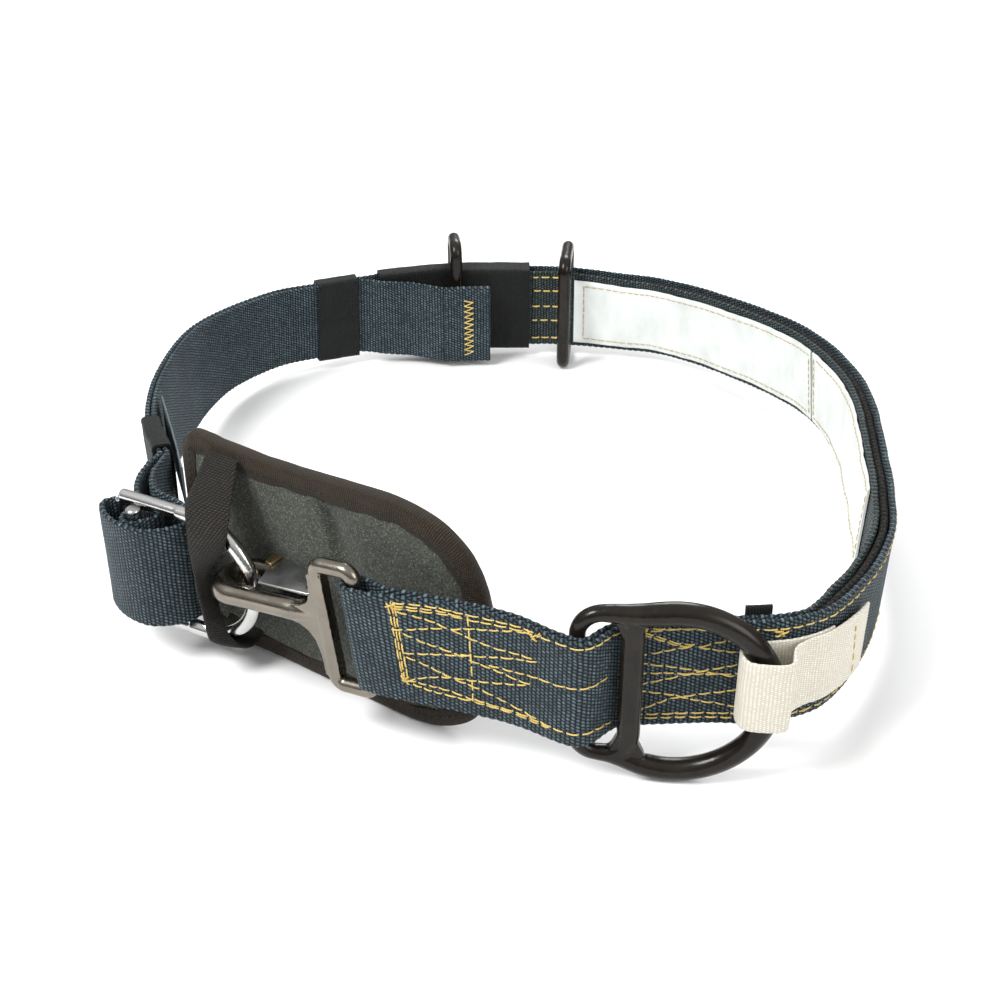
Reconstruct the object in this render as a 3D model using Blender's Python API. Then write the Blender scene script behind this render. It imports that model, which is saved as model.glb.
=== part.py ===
"""An escape belt standing on its edge: a webbing waist loop with a D-ring, a snap hook and a buckle.

Lengths are in millimetres until a mesh is made, and +Z is up. The front of the belt faces -Y.
The waist table follows the outer face of the webbing, anticlockwise from the snap hook:
"low" is the height of its lower edge and "lean" how far its top tips outwards, in degrees.
An offset is measured outwards from that face, so the pieces inside it have negative offsets.
"""

import math

import bmesh
import bpy
import numpy as np

MM = 0.001
CENTRE = (5.06, 4.56)
GAP = 0.3

WEB_WIDTH = 44.5
WEB_THICK = 2.2
OUTER_PLY = -WEB_THICK / 2
PLY_GAP = 0.5
INNER_PLY = OUTER_PLY - WEB_THICK - PLY_GAP

CORE_THICK = 3.8
CORE_PLY = -WEB_THICK - GAP - CORE_THICK / 2
LINING_PLY = CORE_PLY - CORE_THICK / 2 - GAP - WEB_THICK / 2
LABEL_THICK = 1.0
LABEL_GAP = 0.6
LABEL_PLY = LINING_PLY - WEB_THICK / 2 - LABEL_GAP - LABEL_THICK / 2

# Columns: place, x, y, low, lean
WAIST = (
    ("hook bar", -49.0, -157.5, 26.1, -3.0),
    ("", -22.0, -164.0, 24.5, -3.0),
    ("", 2.0, -169.5, 22.0, -2.0),
    ("", 17.0, -176.0, 19.9, -0.5),
    ("", 26.0, -179.2, 19.0, 0.0),
    ("", 32.0, -177.2, 18.7, 0.0),
    ("", 37.0, -172.0, 18.5, 0.0),
    ("", 42.5, -167.8, 18.5, 0.0),
    ("", 50.0, -167.2, 19.0, 0.0),
    ("", 68.0, -167.4, 20.0, 0.0),
    ("", 90.0, -167.8, 20.5, 0.0),
    ("ring right", 104.0, -165.2, 20.5, 0.0),
    ("", 117.0, -157.0, 20.0, 0.0),
    ("", 133.0, -135.0, 18.5, 1.0),
    ("", 148.0, -103.0, 17.0, 2.0),
    ("label front", 156.0, -68.0, 15.5, 2.0),
    ("", 162.0, -30.0, 14.0, 1.0),
    ("", 166.5, 8.0, 12.5, 1.0),
    ("", 169.0, 40.0, 11.5, -2.0),
    ("label seam", 165.5, 80.0, 10.5, -7.0),
    ("", 151.0, 113.0, 9.5, -8.0),
    ("", 121.0, 150.0, 8.5, -10.0),
    ("", 93.5, 172.5, 8.0, -11.0),
    ("", 67.5, 181.0, 7.5, -9.0),
    ("ring two", 37.0, 186.0, 7.5, -5.0),
    ("sleeve right", 16.0, 186.5, 7.5, -4.0),
    ("ring one", -25.0, 185.0, 7.5, -3.0),
    ("sleeve left", -61.0, 178.5, 7.5, -5.0),
    ("keeper start", -75.0, 174.0, 7.5, -6.0),
    ("keeper end", -101.0, 163.0, 8.0, -7.0),
    ("", -122.0, 149.0, 9.0, -6.0),
    ("", -141.5, 121.0, 10.5, -3.0),
    ("", -150.5, 90.0, 12.0, 4.0),
    ("", -154.5, 55.0, 13.5, 5.0),
    ("", -155.0, 20.0, 15.0, 4.0),
    ("band start", -151.0, -14.0, 16.5, 2.0),
    ("buckle run", -141.0, -45.0, 18.0, 0.0),
)

# The snap hook: its own +X points along the shank to the nose, -Y inwards and +Z up its bar.
HOOK_PLACE = (-62.5, -143.5, 46.6)
HOOK_TURN = (-2.0, 6.5, 150.0)
HOOK_BAR_RADIUS = 2.8
HOOK_BARS_APART = 16.0
HOOK_HALF_HEIGHT = 25.9
HOOK_CORNER = 3.6
HOOK_ROD = 4.25
SHANK_HEIGHT = 3.5
# The flat bar at the foot of the shank and its fillets: columns are x and z.
HOOK_WEB = (
    (-2.7, 22.0),
    (-2.7, -22.0),
    (2.7, -22.0),
    (3.0, -12.0),
    (4.2, -6.5),
    (6.2, -3.0),
    (9.5, -0.8),
    (14.0, 0.2),
    (14.0, 6.8),
    (7.5, 7.7),
    (4.6, 9.5),
    (3.0, 14.0),
    (2.7, 22.0),
)
HOOK_WEB_HALF = 2.3
NOSE_X = 43.0
NOSE_RADIUS = 8.75
TIP_X = 34.0
HINGE = (10.0, -6.0)
GATE_HALF = 5.9
GATE_SHEET = 1.2
GATE_FLANGE = ((32.0, -3.0), (36.0, -20.5), (30.0, -20.0), (17.0, -15.5), (7.5, -10.5), (6.5, -4.5), (9.0, -2.8))
GATE_WEB = ((30.5, -20.1), (17.0, -15.5), (10.5, -12.1), (11.0, -11.0), (17.6, -14.3), (30.9, -18.9))
PIN_RADIUS = 1.5

# The D-ring: its centre bar is its own Z axis, and its eye lies towards +X.
RING_PLACE = (44.5, -171.9, 38.34)
RING_TURN = -4.5
EYE_RADIUS = 33.9
EYE_X = 16.0
EYE_ROD = 4.6
END_BAR_X = -18.3
END_ROD = 3.2
SLOT_HALF_HEIGHT = 30.2
SLOT_RISE = 2.6
SLOT_CORNER = 9.0
CENTRE_BAR = (7.2, 6.4)

BACK_ROD = 3.3
BACK_HALF_HEIGHT = 29.2
BACK_CORNER = 5.0

# The buckle: its own +X runs towards the snap hook and +Y backwards.
BUCKLE_PLACE = (-137.9, -91.7, 41.2)
BUCKLE_TURN = -28.0
BUCKLE_PLATE = 2.6
BUCKLE_HALF_HEIGHT = 29.2
SLOT_INNER = 23.0
BUCKLE_ARC = 26.3
BUCKLE_LOOP_ROD = 3.0
BUCKLE_LOOP_X = 24.7
BAR_AT = (0.3, -4.7)
BAR_RADIUS = 3.0
BAR_HALF_LENGTH = 25.5
TAIL_LOW = 19.0
# The tail leaves the keeper and crosses in front of the sleeve: columns are distance, offset and drop.
TAIL_STOP = 9.1
TAIL_PATH = (
    (672.0, -20.7, -3.0),
    (680.0, -18.0, -2.0),
    (690.0, -14.0, -1.0),
    (700.0, -11.4, -0.5),
    (708.0, -9.8, 0.0),
    (715.0, -5.4, 0.0),
    (720.0, INNER_PLY, 0.0),
)
# The webbing through the buckle: columns are distance along it and distance in front of it.
THREADING = (
    (-22.5, -32.0),
    (-18.0, -20.0),
    (-10.5, -10.2),
    (-2.0, -6.2),
    (4.0, -4.8),
    (7.5, -1.5),
    (7.3, 2.6),
    (5.0, 5.4),
    (3.6, 8.1),
    (0.3, 9.5),
    (-3.0, 8.1),
    (-4.4, 5.4),
    (-4.3, 2.0),
    (-4.5, -1.6),
    (-9.3, -4.6),
    (-14.2, -3.4),
    (-17.4, 0.6),
    (-15.6, 4.8),
    (-9.0, 9.2),
    (0.0, 12.0),
    (8.6, 11.7),
    (16.0, 7.0),
    (20.2, 0.6),
    (19.6, -6.0),
    (13.0, -10.6),
    (5.0, -12.8),
    (-4.0, -14.6),
    (-11.0, -19.5),
    (-17.0, -28.0),
)

PAD_THICK = 5.5
BINDING_WALL = 1.0
BINDING_WIDTH = 8.0
# Columns: x, y of the pad's middle, then the heights of its lower and upper edge
PAD = (
    (-121.4, -75.9, 27.0, 82.5),
    (-120.2, -76.8, 15.5, 88.0),
    (-116.9, -79.1, 6.5, 91.8),
    (-112.4, -82.3, 2.2, 93.6),
    (-106.5, -86.2, 0.5, 95.0),
    (-88.0, -98.0, 0.3, 96.0),
    (-74.0, -108.0, 0.3, 96.0),
    (-58.0, -119.5, 0.3, 95.0),
    (-40.0, -132.5, 0.3, 95.0),
    (-28.0, -140.5, 0.6, 93.0),
    (-18.0, -146.0, 3.0, 88.0),
    (-9.0, -149.8, 9.0, 78.0),
    (-4.0, -151.5, 18.0, 65.0),
    (-2.0, -152.2, 30.0, 52.0),
)


# The pad's strap: rows of left, middle and right points from the pad's top edge to its lower edge.
PAD_STRAP = (
    ((-110.2, -90.0, 89.0), (-104.0, -94.0, 89.0), (-97.8, -97.95, 88.6)),
    ((-113.4, -97.0, 81.8), (-106.2, -102.6, 81.8), (-98.6, -107.2, 81.8)),
    ((-117.2, -104.5, 74.5), (-108.7, -110.8, 74.5), (-99.4, -115.8, 74.5)),
    ((-116.6, -111.2, 68.5), (-108.4, -115.8, 68.5), (-100.2, -118.8, 68.5)),
    ((-116.0, -114.0, 61.0), (-108.9, -117.2, 61.0), (-102.4, -117.4, 61.0)),
    ((-115.4, -115.2, 54.0), (-110.6, -115.6, 54.0), (-107.0, -112.2, 54.0)),
    ((-114.8, -115.6, 44.0), (-112.4, -111.5, 44.0), (-111.2, -106.0, 44.0)),
    ((-113.8, -115.2, 33.0), (-111.6, -111.3, 33.0), (-109.6, -106.6, 33.0)),
    ((-113.0, -115.0, 22.5), (-109.2, -114.6, 21.5), (-105.4, -112.8, 21.0)),
    ((-112.6, -113.4, 13.5), (-106.6, -115.2, 11.2), (-100.4, -115.0, 9.6)),
    ((-112.6, -101.0, 8.4), (-106.0, -105.2, 7.4), (-98.8, -107.8, 6.8)),
    ((-110.6, -88.8, 11.0), (-104.0, -93.1, 10.5), (-97.5, -97.4, 10.0)),
)

STOW_LOW = 28.5
STOW_WIDTH = 29.0
STOW_TURN = (
    (88.0, -169.0),
    (83.8, -169.2),
    (81.4, -171.4),
    (80.9, -175.5),
    (82.0, -179.6),
    (85.5, -181.6),
    (95.0, -182.6),
    (99.4, -181.0),
    (100.7, -176.5),
    (101.8, -171.0),
)
CARD = ((-150.5, 12.0, 39.5), (-140.0, -20.0, 39.5), (-130.0, -52.0, 39.5))
SLEEVE_WALL = 1.2


def clear_scene():
    for thing in list(bpy.data.objects):
        bpy.data.objects.remove(thing, do_unlink=True)


def material(name, colour, roughness, metallic=0.0):
    made = bpy.data.materials.new(name)
    made.use_nodes = True
    shader = made.node_tree.nodes["Principled BSDF"]
    shader.inputs["Base Color"].default_value = (*colour, 1.0)
    shader.inputs["Roughness"].default_value = roughness
    shader.inputs["Metallic"].default_value = metallic
    made.diffuse_color = (*colour, 1.0)
    return made


def mesh_object(name, points, faces, finish, parent=None, smooth=False):
    """An object from points in millimetres, welded and with its faces turned outwards."""
    mesh = bpy.data.meshes.new(name)
    mesh.from_pydata([tuple(float(c) * MM for c in p) for p in points], [], faces)
    shape = bmesh.new()
    shape.from_mesh(mesh)
    bmesh.ops.remove_doubles(shape, verts=shape.verts, dist=1e-6)
    bmesh.ops.recalc_face_normals(shape, faces=shape.faces)
    shape.to_mesh(mesh)
    shape.free()
    mesh.materials.append(finish)
    if smooth:
        mesh.shade_smooth()
        mesh.set_sharp_from_angle(angle=math.radians(40))
    made = bpy.data.objects.new(name, mesh)
    bpy.context.scene.collection.objects.link(made)
    made.parent = parent
    return made


def empty(name, place, turn):
    """An empty that carries pieces made in their own axes."""
    made = bpy.data.objects.new(name, None)
    made.location = ((place[0] - CENTRE[0]) * MM, (place[1] - CENTRE[1]) * MM, place[2] * MM)
    made.rotation_euler = [math.radians(angle) for angle in turn]
    bpy.context.scene.collection.objects.link(made)
    return made


def cut_or_join(target, others, operation):
    """Applies the others to the target as cutters or as parts of one body, and removes them."""
    for other in others:
        step = target.modifiers.new(operation.lower(), "BOOLEAN")
        step.operation = operation
        step.object = other
    graph = bpy.context.evaluated_depsgraph_get()
    mesh = bpy.data.meshes.new_from_object(target.evaluated_get(graph))
    target.modifiers.clear()
    target.data = mesh
    mesh.shade_smooth()
    mesh.set_sharp_from_angle(angle=math.radians(40))
    for other in others:
        bpy.data.objects.remove(other, do_unlink=True)
    return target


def unit(vectors):
    return vectors / np.linalg.norm(vectors, axis=-1, keepdims=True)


def spline(rows, longest=8.0, fewest=3):
    """Catmull-Rom points through the rows, every column smoothed, no further apart than longest."""
    rows = np.asarray(rows, float)
    ends = np.vstack([2 * rows[0] - rows[1], rows, 2 * rows[-1] - rows[-2]])
    points = []
    for before, start, stop, after in zip(ends, ends[1:], ends[2:], ends[3:]):
        steps = max(fewest, math.ceil(np.linalg.norm((stop - start)[:2]) / longest))
        for t in np.arange(steps) / steps:
            bend = 2 * before - 5 * start + 4 * stop - after
            twist = 3 * (start - stop) + after - before
            points.append(start + 0.5 * t * (stop - before + t * (bend + t * twist)))
    points.append(rows[-1])
    return np.array(points)


class Waist:
    """The belt's path: lower edge, upward and outward directions at any distance along it."""

    def __init__(self, table):
        rows = np.array([row[1:] for row in table])
        fine = spline(rows)
        self.length = np.concatenate([[0], np.cumsum(np.linalg.norm(np.diff(fine[:, :2], axis=0), axis=1))])
        self.fine = fine
        nearest = [np.linalg.norm(fine[:, :2] - row[:2], axis=1).argmin() for row in rows]
        self.mark = {row[0]: self.length[i] for row, i in zip(table, nearest) if row[0]}

    def stretch(self, start, stop):
        """The path's own sample distances from start to stop."""
        low, high = sorted((start, stop))
        inside = [d for d in self.length if low + 1 < d < high - 1]
        return np.array([start, *(inside if start < stop else inside[::-1]), stop])

    def at(self, distances):
        row = np.stack([np.interp(distances, self.length, column) for column in self.fine.T], 1)
        near = np.stack([np.interp(np.asarray(distances) - 1.5, self.length, c) for c in self.fine.T[:2]], 1)
        far = np.stack([np.interp(np.asarray(distances) + 1.5, self.length, c) for c in self.fine.T[:2]], 1)
        along = unit(far - near)
        lean = np.radians(row[:, 3])
        out = np.stack([along[:, 1], -along[:, 0], np.zeros(len(row))], 1)
        rise = np.array([0.0, 0.0, 1.0])
        up = np.cos(lean)[:, None] * rise + np.sin(lean)[:, None] * out
        outward = np.cos(lean)[:, None] * out - np.sin(lean)[:, None] * rise
        return row[:, :3], up, outward

    def edge(self, distances, offset, low=0.0):
        """Lower-edge points of a ply at this offset, and their upward directions."""
        point, up, outward = self.at(distances)
        return point + np.reshape(offset, (-1, 1)) * outward + low * up, up


def grid_faces(rows, columns, close_rows=False):
    """Quads between neighbouring rows of points that close on themselves, with end caps if open."""
    faces = []
    for i in range(rows if close_rows else rows - 1):
        for j in range(columns):
            k = (j + 1) % columns
            below, above = i * columns, (i + 1) % rows * columns
            faces.append((below + j, below + k, above + k, above + j))
    if not close_rows:
        faces.append(tuple(range(columns)))
        faces.append(tuple((rows - 1) * columns + j for j in range(columns)))
    return faces


def split_sides(faces):
    """The two broad sides of a strip as triangles, cut the same way on every layer of the belt."""
    split = []
    for face in faces:
        side = face[0] % 4
        if len(face) != 4 or side % 2 == 0 or face[3] - face[0] != 4:
            split.append(face)
            continue
        a, b, c, d = face
        split += [(a, b, c), (a, c, d)] if side == 1 else [(a, b, d), (b, c, d)]
    return split


def centred(points):
    return np.asarray(points, float) - np.array([CENTRE[0], CENTRE[1], 0.0])


def ribbon(name, lower, up, width, thick, finish):
    """A strip of webbing on its edge, from its lower-edge points and upward directions."""
    along = unit(np.gradient(lower, axis=0))
    side = unit(np.cross(up, along))
    half = side * np.reshape(thick, (-1, 1)) / 2
    rise = up * np.reshape(width, (-1, 1))
    section = np.stack([lower + half, lower - half, lower - half + rise, lower + half + rise], 1)
    faces = split_sides(grid_faces(len(lower), 4))
    return mesh_object(name, centred(section.reshape(-1, 3)), faces, finish)


def sweep(name, path, normal, radii, finish, sides=10, closed=False, parent=None, place=False):
    """A rod along a path in one plane: radii are across the plane's own direction and out of it."""
    path = np.asarray(path, float)
    if closed:
        along = np.roll(path, -1, axis=0) - np.roll(path, 1, axis=0)
    else:
        along = np.gradient(path, axis=0)
    across = unit(np.cross(along, normal))
    radii = np.broadcast_to(np.asarray(radii, float), (len(path), 2))
    turn = 2 * np.pi * (np.arange(sides) + 0.5) / sides
    ring = (
        path[:, None]
        + np.cos(turn)[None, :, None] * (radii[:, :1] * across)[:, None]
        + np.sin(turn)[None, :, None] * (radii[:, 1:] * np.asarray(normal, float))[:, None]
    )
    points = ring.reshape(-1, 3)
    faces = grid_faces(len(path), sides, closed)
    return mesh_object(name, centred(points) if place else points, faces, finish, parent, True)


def arc(centre, radius, start, stop, steps):
    """Points of an arc in a plane, angles in degrees."""
    turn = np.radians(np.linspace(start, stop, steps + 1))
    return np.stack([centre[0] + radius * np.cos(turn), centre[1] + radius * np.sin(turn)], 1)


def round_box(left, right, half_height, corner, steps=5):
    """The outline of an upright rounded rectangle, from its right-hand upper corner, anticlockwise."""
    corners = (
        (right - corner, half_height - corner, 0),
        (left + corner, half_height - corner, 90),
        (left + corner, -half_height + corner, 180),
        (right - corner, -half_height + corner, 270),
    )
    return np.vstack([arc((x, z), corner, turn, turn + 90, steps) for x, z, turn in corners])


def prism(name, outline, low, high, finish, axis=2, parent=None):
    """An outline in the two other axes, drawn out along the axis from low to high."""
    points = np.insert(np.tile(outline, (2, 1)), axis, np.repeat([low, high], len(outline)), axis=1)
    return mesh_object(name, points, grid_faces(2, len(outline)), finish, parent)


def disc(radius, centre, sides=16):
    """A circle's outline as a polygon."""
    return arc(centre, radius, 0, 360 - 360 / sides, sides - 1)


def tube(name, waist, distances, offsets, low, high, wall, finish):
    """A sleeve round the belt: offsets, low and high are the sides of the space in it."""
    point, up, outward = waist.at(distances)
    front, back = np.broadcast_to(np.asarray(offsets, float), (len(distances), 2)).T[:, :, None]
    rings = []
    for grow in (wall, 0.0):
        bottom, top = (low - grow) * up, (high + grow) * up
        near, far = (front + grow) * outward, (back - grow) * outward
        sides = ((near, bottom), (far, bottom), (far, top), (near, top))
        rings.append(np.stack([point + across + rise for across, rise in sides], 1))
    points = np.concatenate([rings[0].reshape(-1, 3), rings[1].reshape(-1, 3)])
    count = len(distances) * 4
    faces = split_sides(grid_faces(len(distances), 4)[:-2])
    faces += [tuple(count + corner for corner in reversed(face)) for face in faces]
    for first in (0, count - 4):
        for j in range(4):
            k = (j + 1) % 4
            faces.append((first + j, first + k, count + first + k, count + first + j))
    return mesh_object(name, centred(points), faces, finish)


def front_webbing(waist, hook, finish):
    """The main webbing: its end behind the D-ring, round the hook's bar and on to the back sleeve."""
    bar, axis = hook_bar_axis(hook)
    radius = HOOK_BAR_RADIUS + GAP + WEB_THICK / 2
    inner = waist.stretch(waist.mark["ring right"] - 6, 12)
    near = np.clip((inner - 8) / 22, 0, 1)
    low_inner, up_inner = waist.edge(inner, INNER_PLY - 3.0 * (1 - near) ** 2)
    up_inner = unit(up_inner + (1 - near)[:, None] * (axis - up_inner))
    outer = waist.stretch(9, waist.mark["ring one"] - 5)
    near = np.clip((outer - 8) / 22, 0, 1)
    low_outer, up_outer = waist.edge(outer, OUTER_PLY)
    up_outer = unit(up_outer + (1 - near)[:, None] * (axis - up_outer))
    _, _, outward = waist.at([0.0])
    out = unit(outward[0] - axis * (outward[0] @ axis))
    left = np.cross(out, axis)
    foot = bar + axis * (WAIST[0][3] - bar[2]) / axis[2]
    turn = np.radians(np.linspace(-100, 80, 9))
    bend = foot + radius * (np.sin(turn)[:, None] * out + np.cos(turn)[:, None] * left)
    lower = np.vstack([low_inner, bend, low_outer])
    upward = np.vstack([up_inner, np.tile(axis, (len(bend), 1)), up_outer])
    return ribbon("main_webbing", lower, upward, WEB_WIDTH, WEB_THICK, finish)


def hook_bar_axis(hook):
    """A point and the direction of the hook's webbing bar, in millimetres."""
    turn = np.array(hook.rotation_euler.to_matrix())
    return np.array(HOOK_PLACE) + turn @ [-HOOK_BARS_APART, 0.0, 0.0], turn[:, 2]


def buckle_plan(rows):
    """Points given along and in front of the buckle, in the belt's plan."""
    turn = math.radians(BUCKLE_TURN)
    along, back = np.array([math.cos(turn), math.sin(turn)]), np.array([-math.sin(turn), math.cos(turn)])
    return np.array([np.array(BUCKLE_PLACE[:2]) + s * along - d * back for s, d in rows])


def adjusting_webbing(waist, finish):
    """The adjusting webbing: from the sleeve to the buckle, through it twice, and its tail back again."""
    run = waist.stretch(waist.mark["ring one"] + 5, waist.mark["buckle run"])
    tail = waist.stretch(waist.mark["buckle run"], waist.mark["ring one"] + TAIL_STOP)
    low_run, up_run = waist.edge(run, OUTER_PLY)
    distance, offset, drop = np.array(TAIL_PATH).T
    low_tail, up_tail = waist.edge(tail, np.interp(tail, distance, offset))
    low_tail += np.interp(tail, distance, drop)[:, None] * up_tail
    plan = spline(np.array(buckle_plan(THREADING)), 4.0, 2)
    share = np.linspace(0, 1, len(plan))
    height = np.interp(share, [0, 0.12, 0.9, 1], [18.6, TAIL_LOW, TAIL_LOW, 18.4])
    middle = np.column_stack([plan, height])
    lower = np.vstack([low_run, middle, low_tail])
    upward = np.vstack([up_run, np.tile([0.0, 0.0, 1.0], (len(middle), 1)), up_tail])
    return ribbon("adjusting_webbing", lower, upward, WEB_WIDTH, WEB_THICK, finish)


def right_layers(waist, web, core_finish, label_finish):
    """The stiff core, the lining and the label on the right half of the belt."""
    front = waist.mark["ring right"]
    core = waist.stretch(front + 9, waist.mark["sleeve right"] + 12)
    thick = np.interp(core, [front + 9, front + 25], [1.2, CORE_THICK])
    lower, up = waist.edge(core, -WEB_THICK - GAP - thick / 2)
    ribbon("right_core", lower, up, WEB_WIDTH - 1.5, thick, core_finish)
    lining = waist.stretch(front - 2, waist.mark["sleeve right"] + 12)
    offset = np.interp(lining, [front - 2, front + 3, front + 10, front + 25], [-3.8, -3.8, -5.4, LINING_PLY])
    lower, up = waist.edge(lining, offset)
    ribbon("right_lining", lower, up, WEB_WIDTH, WEB_THICK, web)
    seam = waist.mark["label seam"]
    for name, start, stop in (
        ("label_front", waist.mark["label front"], seam - 1),
        ("label_back", seam + 1, waist.mark["ring two"] - 5),
    ):
        lower, up = waist.edge(waist.stretch(start, stop), LABEL_PLY, 3.0)
        ribbon(name, lower, up, WEB_WIDTH - 6.0, LABEL_THICK, label_finish)


def sleeves(waist, finish, webbing):
    """The back sleeve in two lengths with the left ring between them, the keepers and the tail's tab."""
    ring = waist.mark["ring one"]
    spans = (
        ("sleeve_right", waist.mark["sleeve right"], ring - 4.2, (0.3, -9.8), -0.5, 45.2),
        ("sleeve_left", ring + 4.2, waist.mark["sleeve left"] + 6.5, (0.3, -6.3), -0.5, 45.2),
        ("keeper_back", waist.mark["keeper start"] + 5, waist.mark["keeper end"], (0.3, -5.5), -0.5, 45.0),
        ("keeper_left", waist.mark["band start"], waist.mark["buckle run"] - 3, (0.5, -5.4), -0.6, 45.3),
    )
    for name, start, stop, offsets, low, high in spans:
        tube(name, waist, waist.stretch(start, stop), offsets, low, high, SLEEVE_WALL, finish)
    lower, up = waist.edge(waist.stretch(ring + 8, ring - 19), -20.7, -3.0)
    ribbon("tail_tab", lower, up, WEB_WIDTH, 2 * WEB_THICK + GAP, webbing)


def back_ring(name, waist, distance, offset, low, depth, finish):
    """A rectangular ring round the belt, standing across it."""
    point, _, outward = waist.at([distance])
    out = outward[0] * [1, 1, 0]
    out = out / np.linalg.norm(out)
    outline = round_box(-depth, 0.0, BACK_HALF_HEIGHT, BACK_CORNER)
    centre = point[0] + out * offset
    path = np.array([[*(centre[:2] + x * out[:2]), low + BACK_ROD + BACK_HALF_HEIGHT + z] for x, z in outline])
    sweep(name, path, np.cross(out, [0, 0, 1]), BACK_ROD, finish, closed=True, place=True)


def hook_pieces(hook, steel, dark):
    """The snap hook's body, its spring gate and the gate's pin."""
    frame = round_box(-HOOK_BARS_APART, 0.0, HOOK_HALF_HEIGHT, HOOK_CORNER)
    path = np.insert(frame, 1, 0.0, axis=1)
    body = sweep("hook_body", path, (0, 1, 0), HOOK_BAR_RADIUS, steel, closed=True, parent=hook)
    bend = arc((NOSE_X, -NOSE_RADIUS), NOSE_RADIUS, 90, -90, 10)
    shank = np.vstack([[[-1, 0], [NOSE_X / 2, 0]], bend, [[TIP_X, -2 * NOSE_RADIUS]]])
    shank = np.insert(shank, 2, SHANK_HEIGHT, axis=1)
    rod = sweep("shank", shank, (0, 0, 1), HOOK_ROD, steel, 12, parent=hook)
    web = prism("web", HOOK_WEB, -HOOK_WEB_HALF, HOOK_WEB_HALF, steel, 1, hook)
    lug = prism("lug", disc(3.6, HINGE), SHANK_HEIGHT - 3.6, SHANK_HEIGHT + 3.6, steel, 2, hook)
    cut_or_join(body, [rod, web, lug], "UNION")
    hole = prism("hole", disc(PIN_RADIUS + GAP, HINGE), -20, 20, steel, 2, hook)
    cut_or_join(body, [hole], "DIFFERENCE")
    half = GATE_HALF
    upper = prism("hook_gate", GATE_FLANGE, SHANK_HEIGHT + half - GATE_SHEET, SHANK_HEIGHT + half, dark, 2, hook)
    lower = prism("flange", GATE_FLANGE, SHANK_HEIGHT - half, SHANK_HEIGHT - half + GATE_SHEET, dark, 2, hook)
    spine = prism("spine", GATE_WEB, SHANK_HEIGHT - half + 0.4, SHANK_HEIGHT + half - 0.4, dark, 2, hook)
    cut_or_join(upper, [lower, spine], "UNION")
    hole = prism("hole", disc(PIN_RADIUS + GAP, HINGE), -20, 20, steel, 2, hook)
    cut_or_join(upper, [hole], "DIFFERENCE")
    reach = half + 0.6
    prism("gate_pin", disc(PIN_RADIUS, HINGE), SHANK_HEIGHT - reach, SHANK_HEIGHT + reach, steel, 2, hook)


def d_ring(ring, finish):
    """The D-ring: a round eye, a flat centre bar and a lighter frame round the webbing."""
    foot = (0.5, EYE_RADIUS - 2.5)
    eye = np.vstack([[foot], arc((EYE_X, 0.0), EYE_RADIUS, 100, -100, 26), [[foot[0], -foot[1]]]])
    eye = np.insert(eye, 1, 0.0, axis=1)
    body = sweep("d_ring", eye, (0, 1, 0), EYE_ROD, finish, 12, parent=ring)
    bar = sweep("bar", [(0, 0, -33), (0, 0, 33)], (0, 1, 0), (CENTRE_BAR[0] / 2, CENTRE_BAR[1] / 2), finish, 12, parent=ring)
    frame = round_box(END_BAR_X, 2.0, SLOT_HALF_HEIGHT, SLOT_CORNER)
    frame = np.insert(frame + [0.0, SLOT_RISE], 1, 0.0, axis=1)
    loop = sweep("loop", frame, (0, 1, 0), (END_ROD - 0.4, END_ROD), finish, 10, closed=True, parent=ring)
    cut_or_join(body, [bar, loop], "UNION")


def buckle_pieces(buckle, finish):
    """The adjuster: a slotted plate with a round end bar and a round loop, and its knurled sliding bar."""
    half = BUCKLE_HALF_HEIGHT
    plate = round_box(-10.5, 26.0, half, 6.0)
    body = prism("adjuster_frame", plate, -BUCKLE_PLATE / 2, BUCKLE_PLATE / 2, finish, 1, buckle)
    window = prism("window", round_box(-6.9, 11.5, SLOT_INNER, 2.0, 3), -9, 9, finish, 1, buckle)
    eye = prism("eye", round_box(16.5, 40.0, SLOT_INNER, 1.0, 2), -9, 9, finish, 1, buckle)
    cut_or_join(body, [window, eye], "DIFFERENCE")
    path = np.vstack([[[18.5, BUCKLE_ARC]], arc((BUCKLE_LOOP_X, 0.0), BUCKLE_ARC, 90, -90, 20), [[18.5, -BUCKLE_ARC]]])
    loop = sweep("loop", np.insert(path, 1, 0.0, axis=1), (0, 1, 0), BUCKLE_LOOP_ROD, finish, 12, parent=buckle)
    end = sweep("end", [(-9.3, 0, -half + 4), (-9.3, 0, half - 4)], (0, 1, 0), 2.4, finish, 12, parent=buckle)
    cut_or_join(body, [loop, end], "UNION")
    bar = [(BAR_AT[0], BAR_AT[1], -BAR_HALF_LENGTH), (BAR_AT[0], BAR_AT[1], BAR_HALF_LENGTH)]
    sweep("knurled_bar", bar, (0, 1, 0), BAR_RADIUS, finish, 16, parent=buckle)


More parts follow.
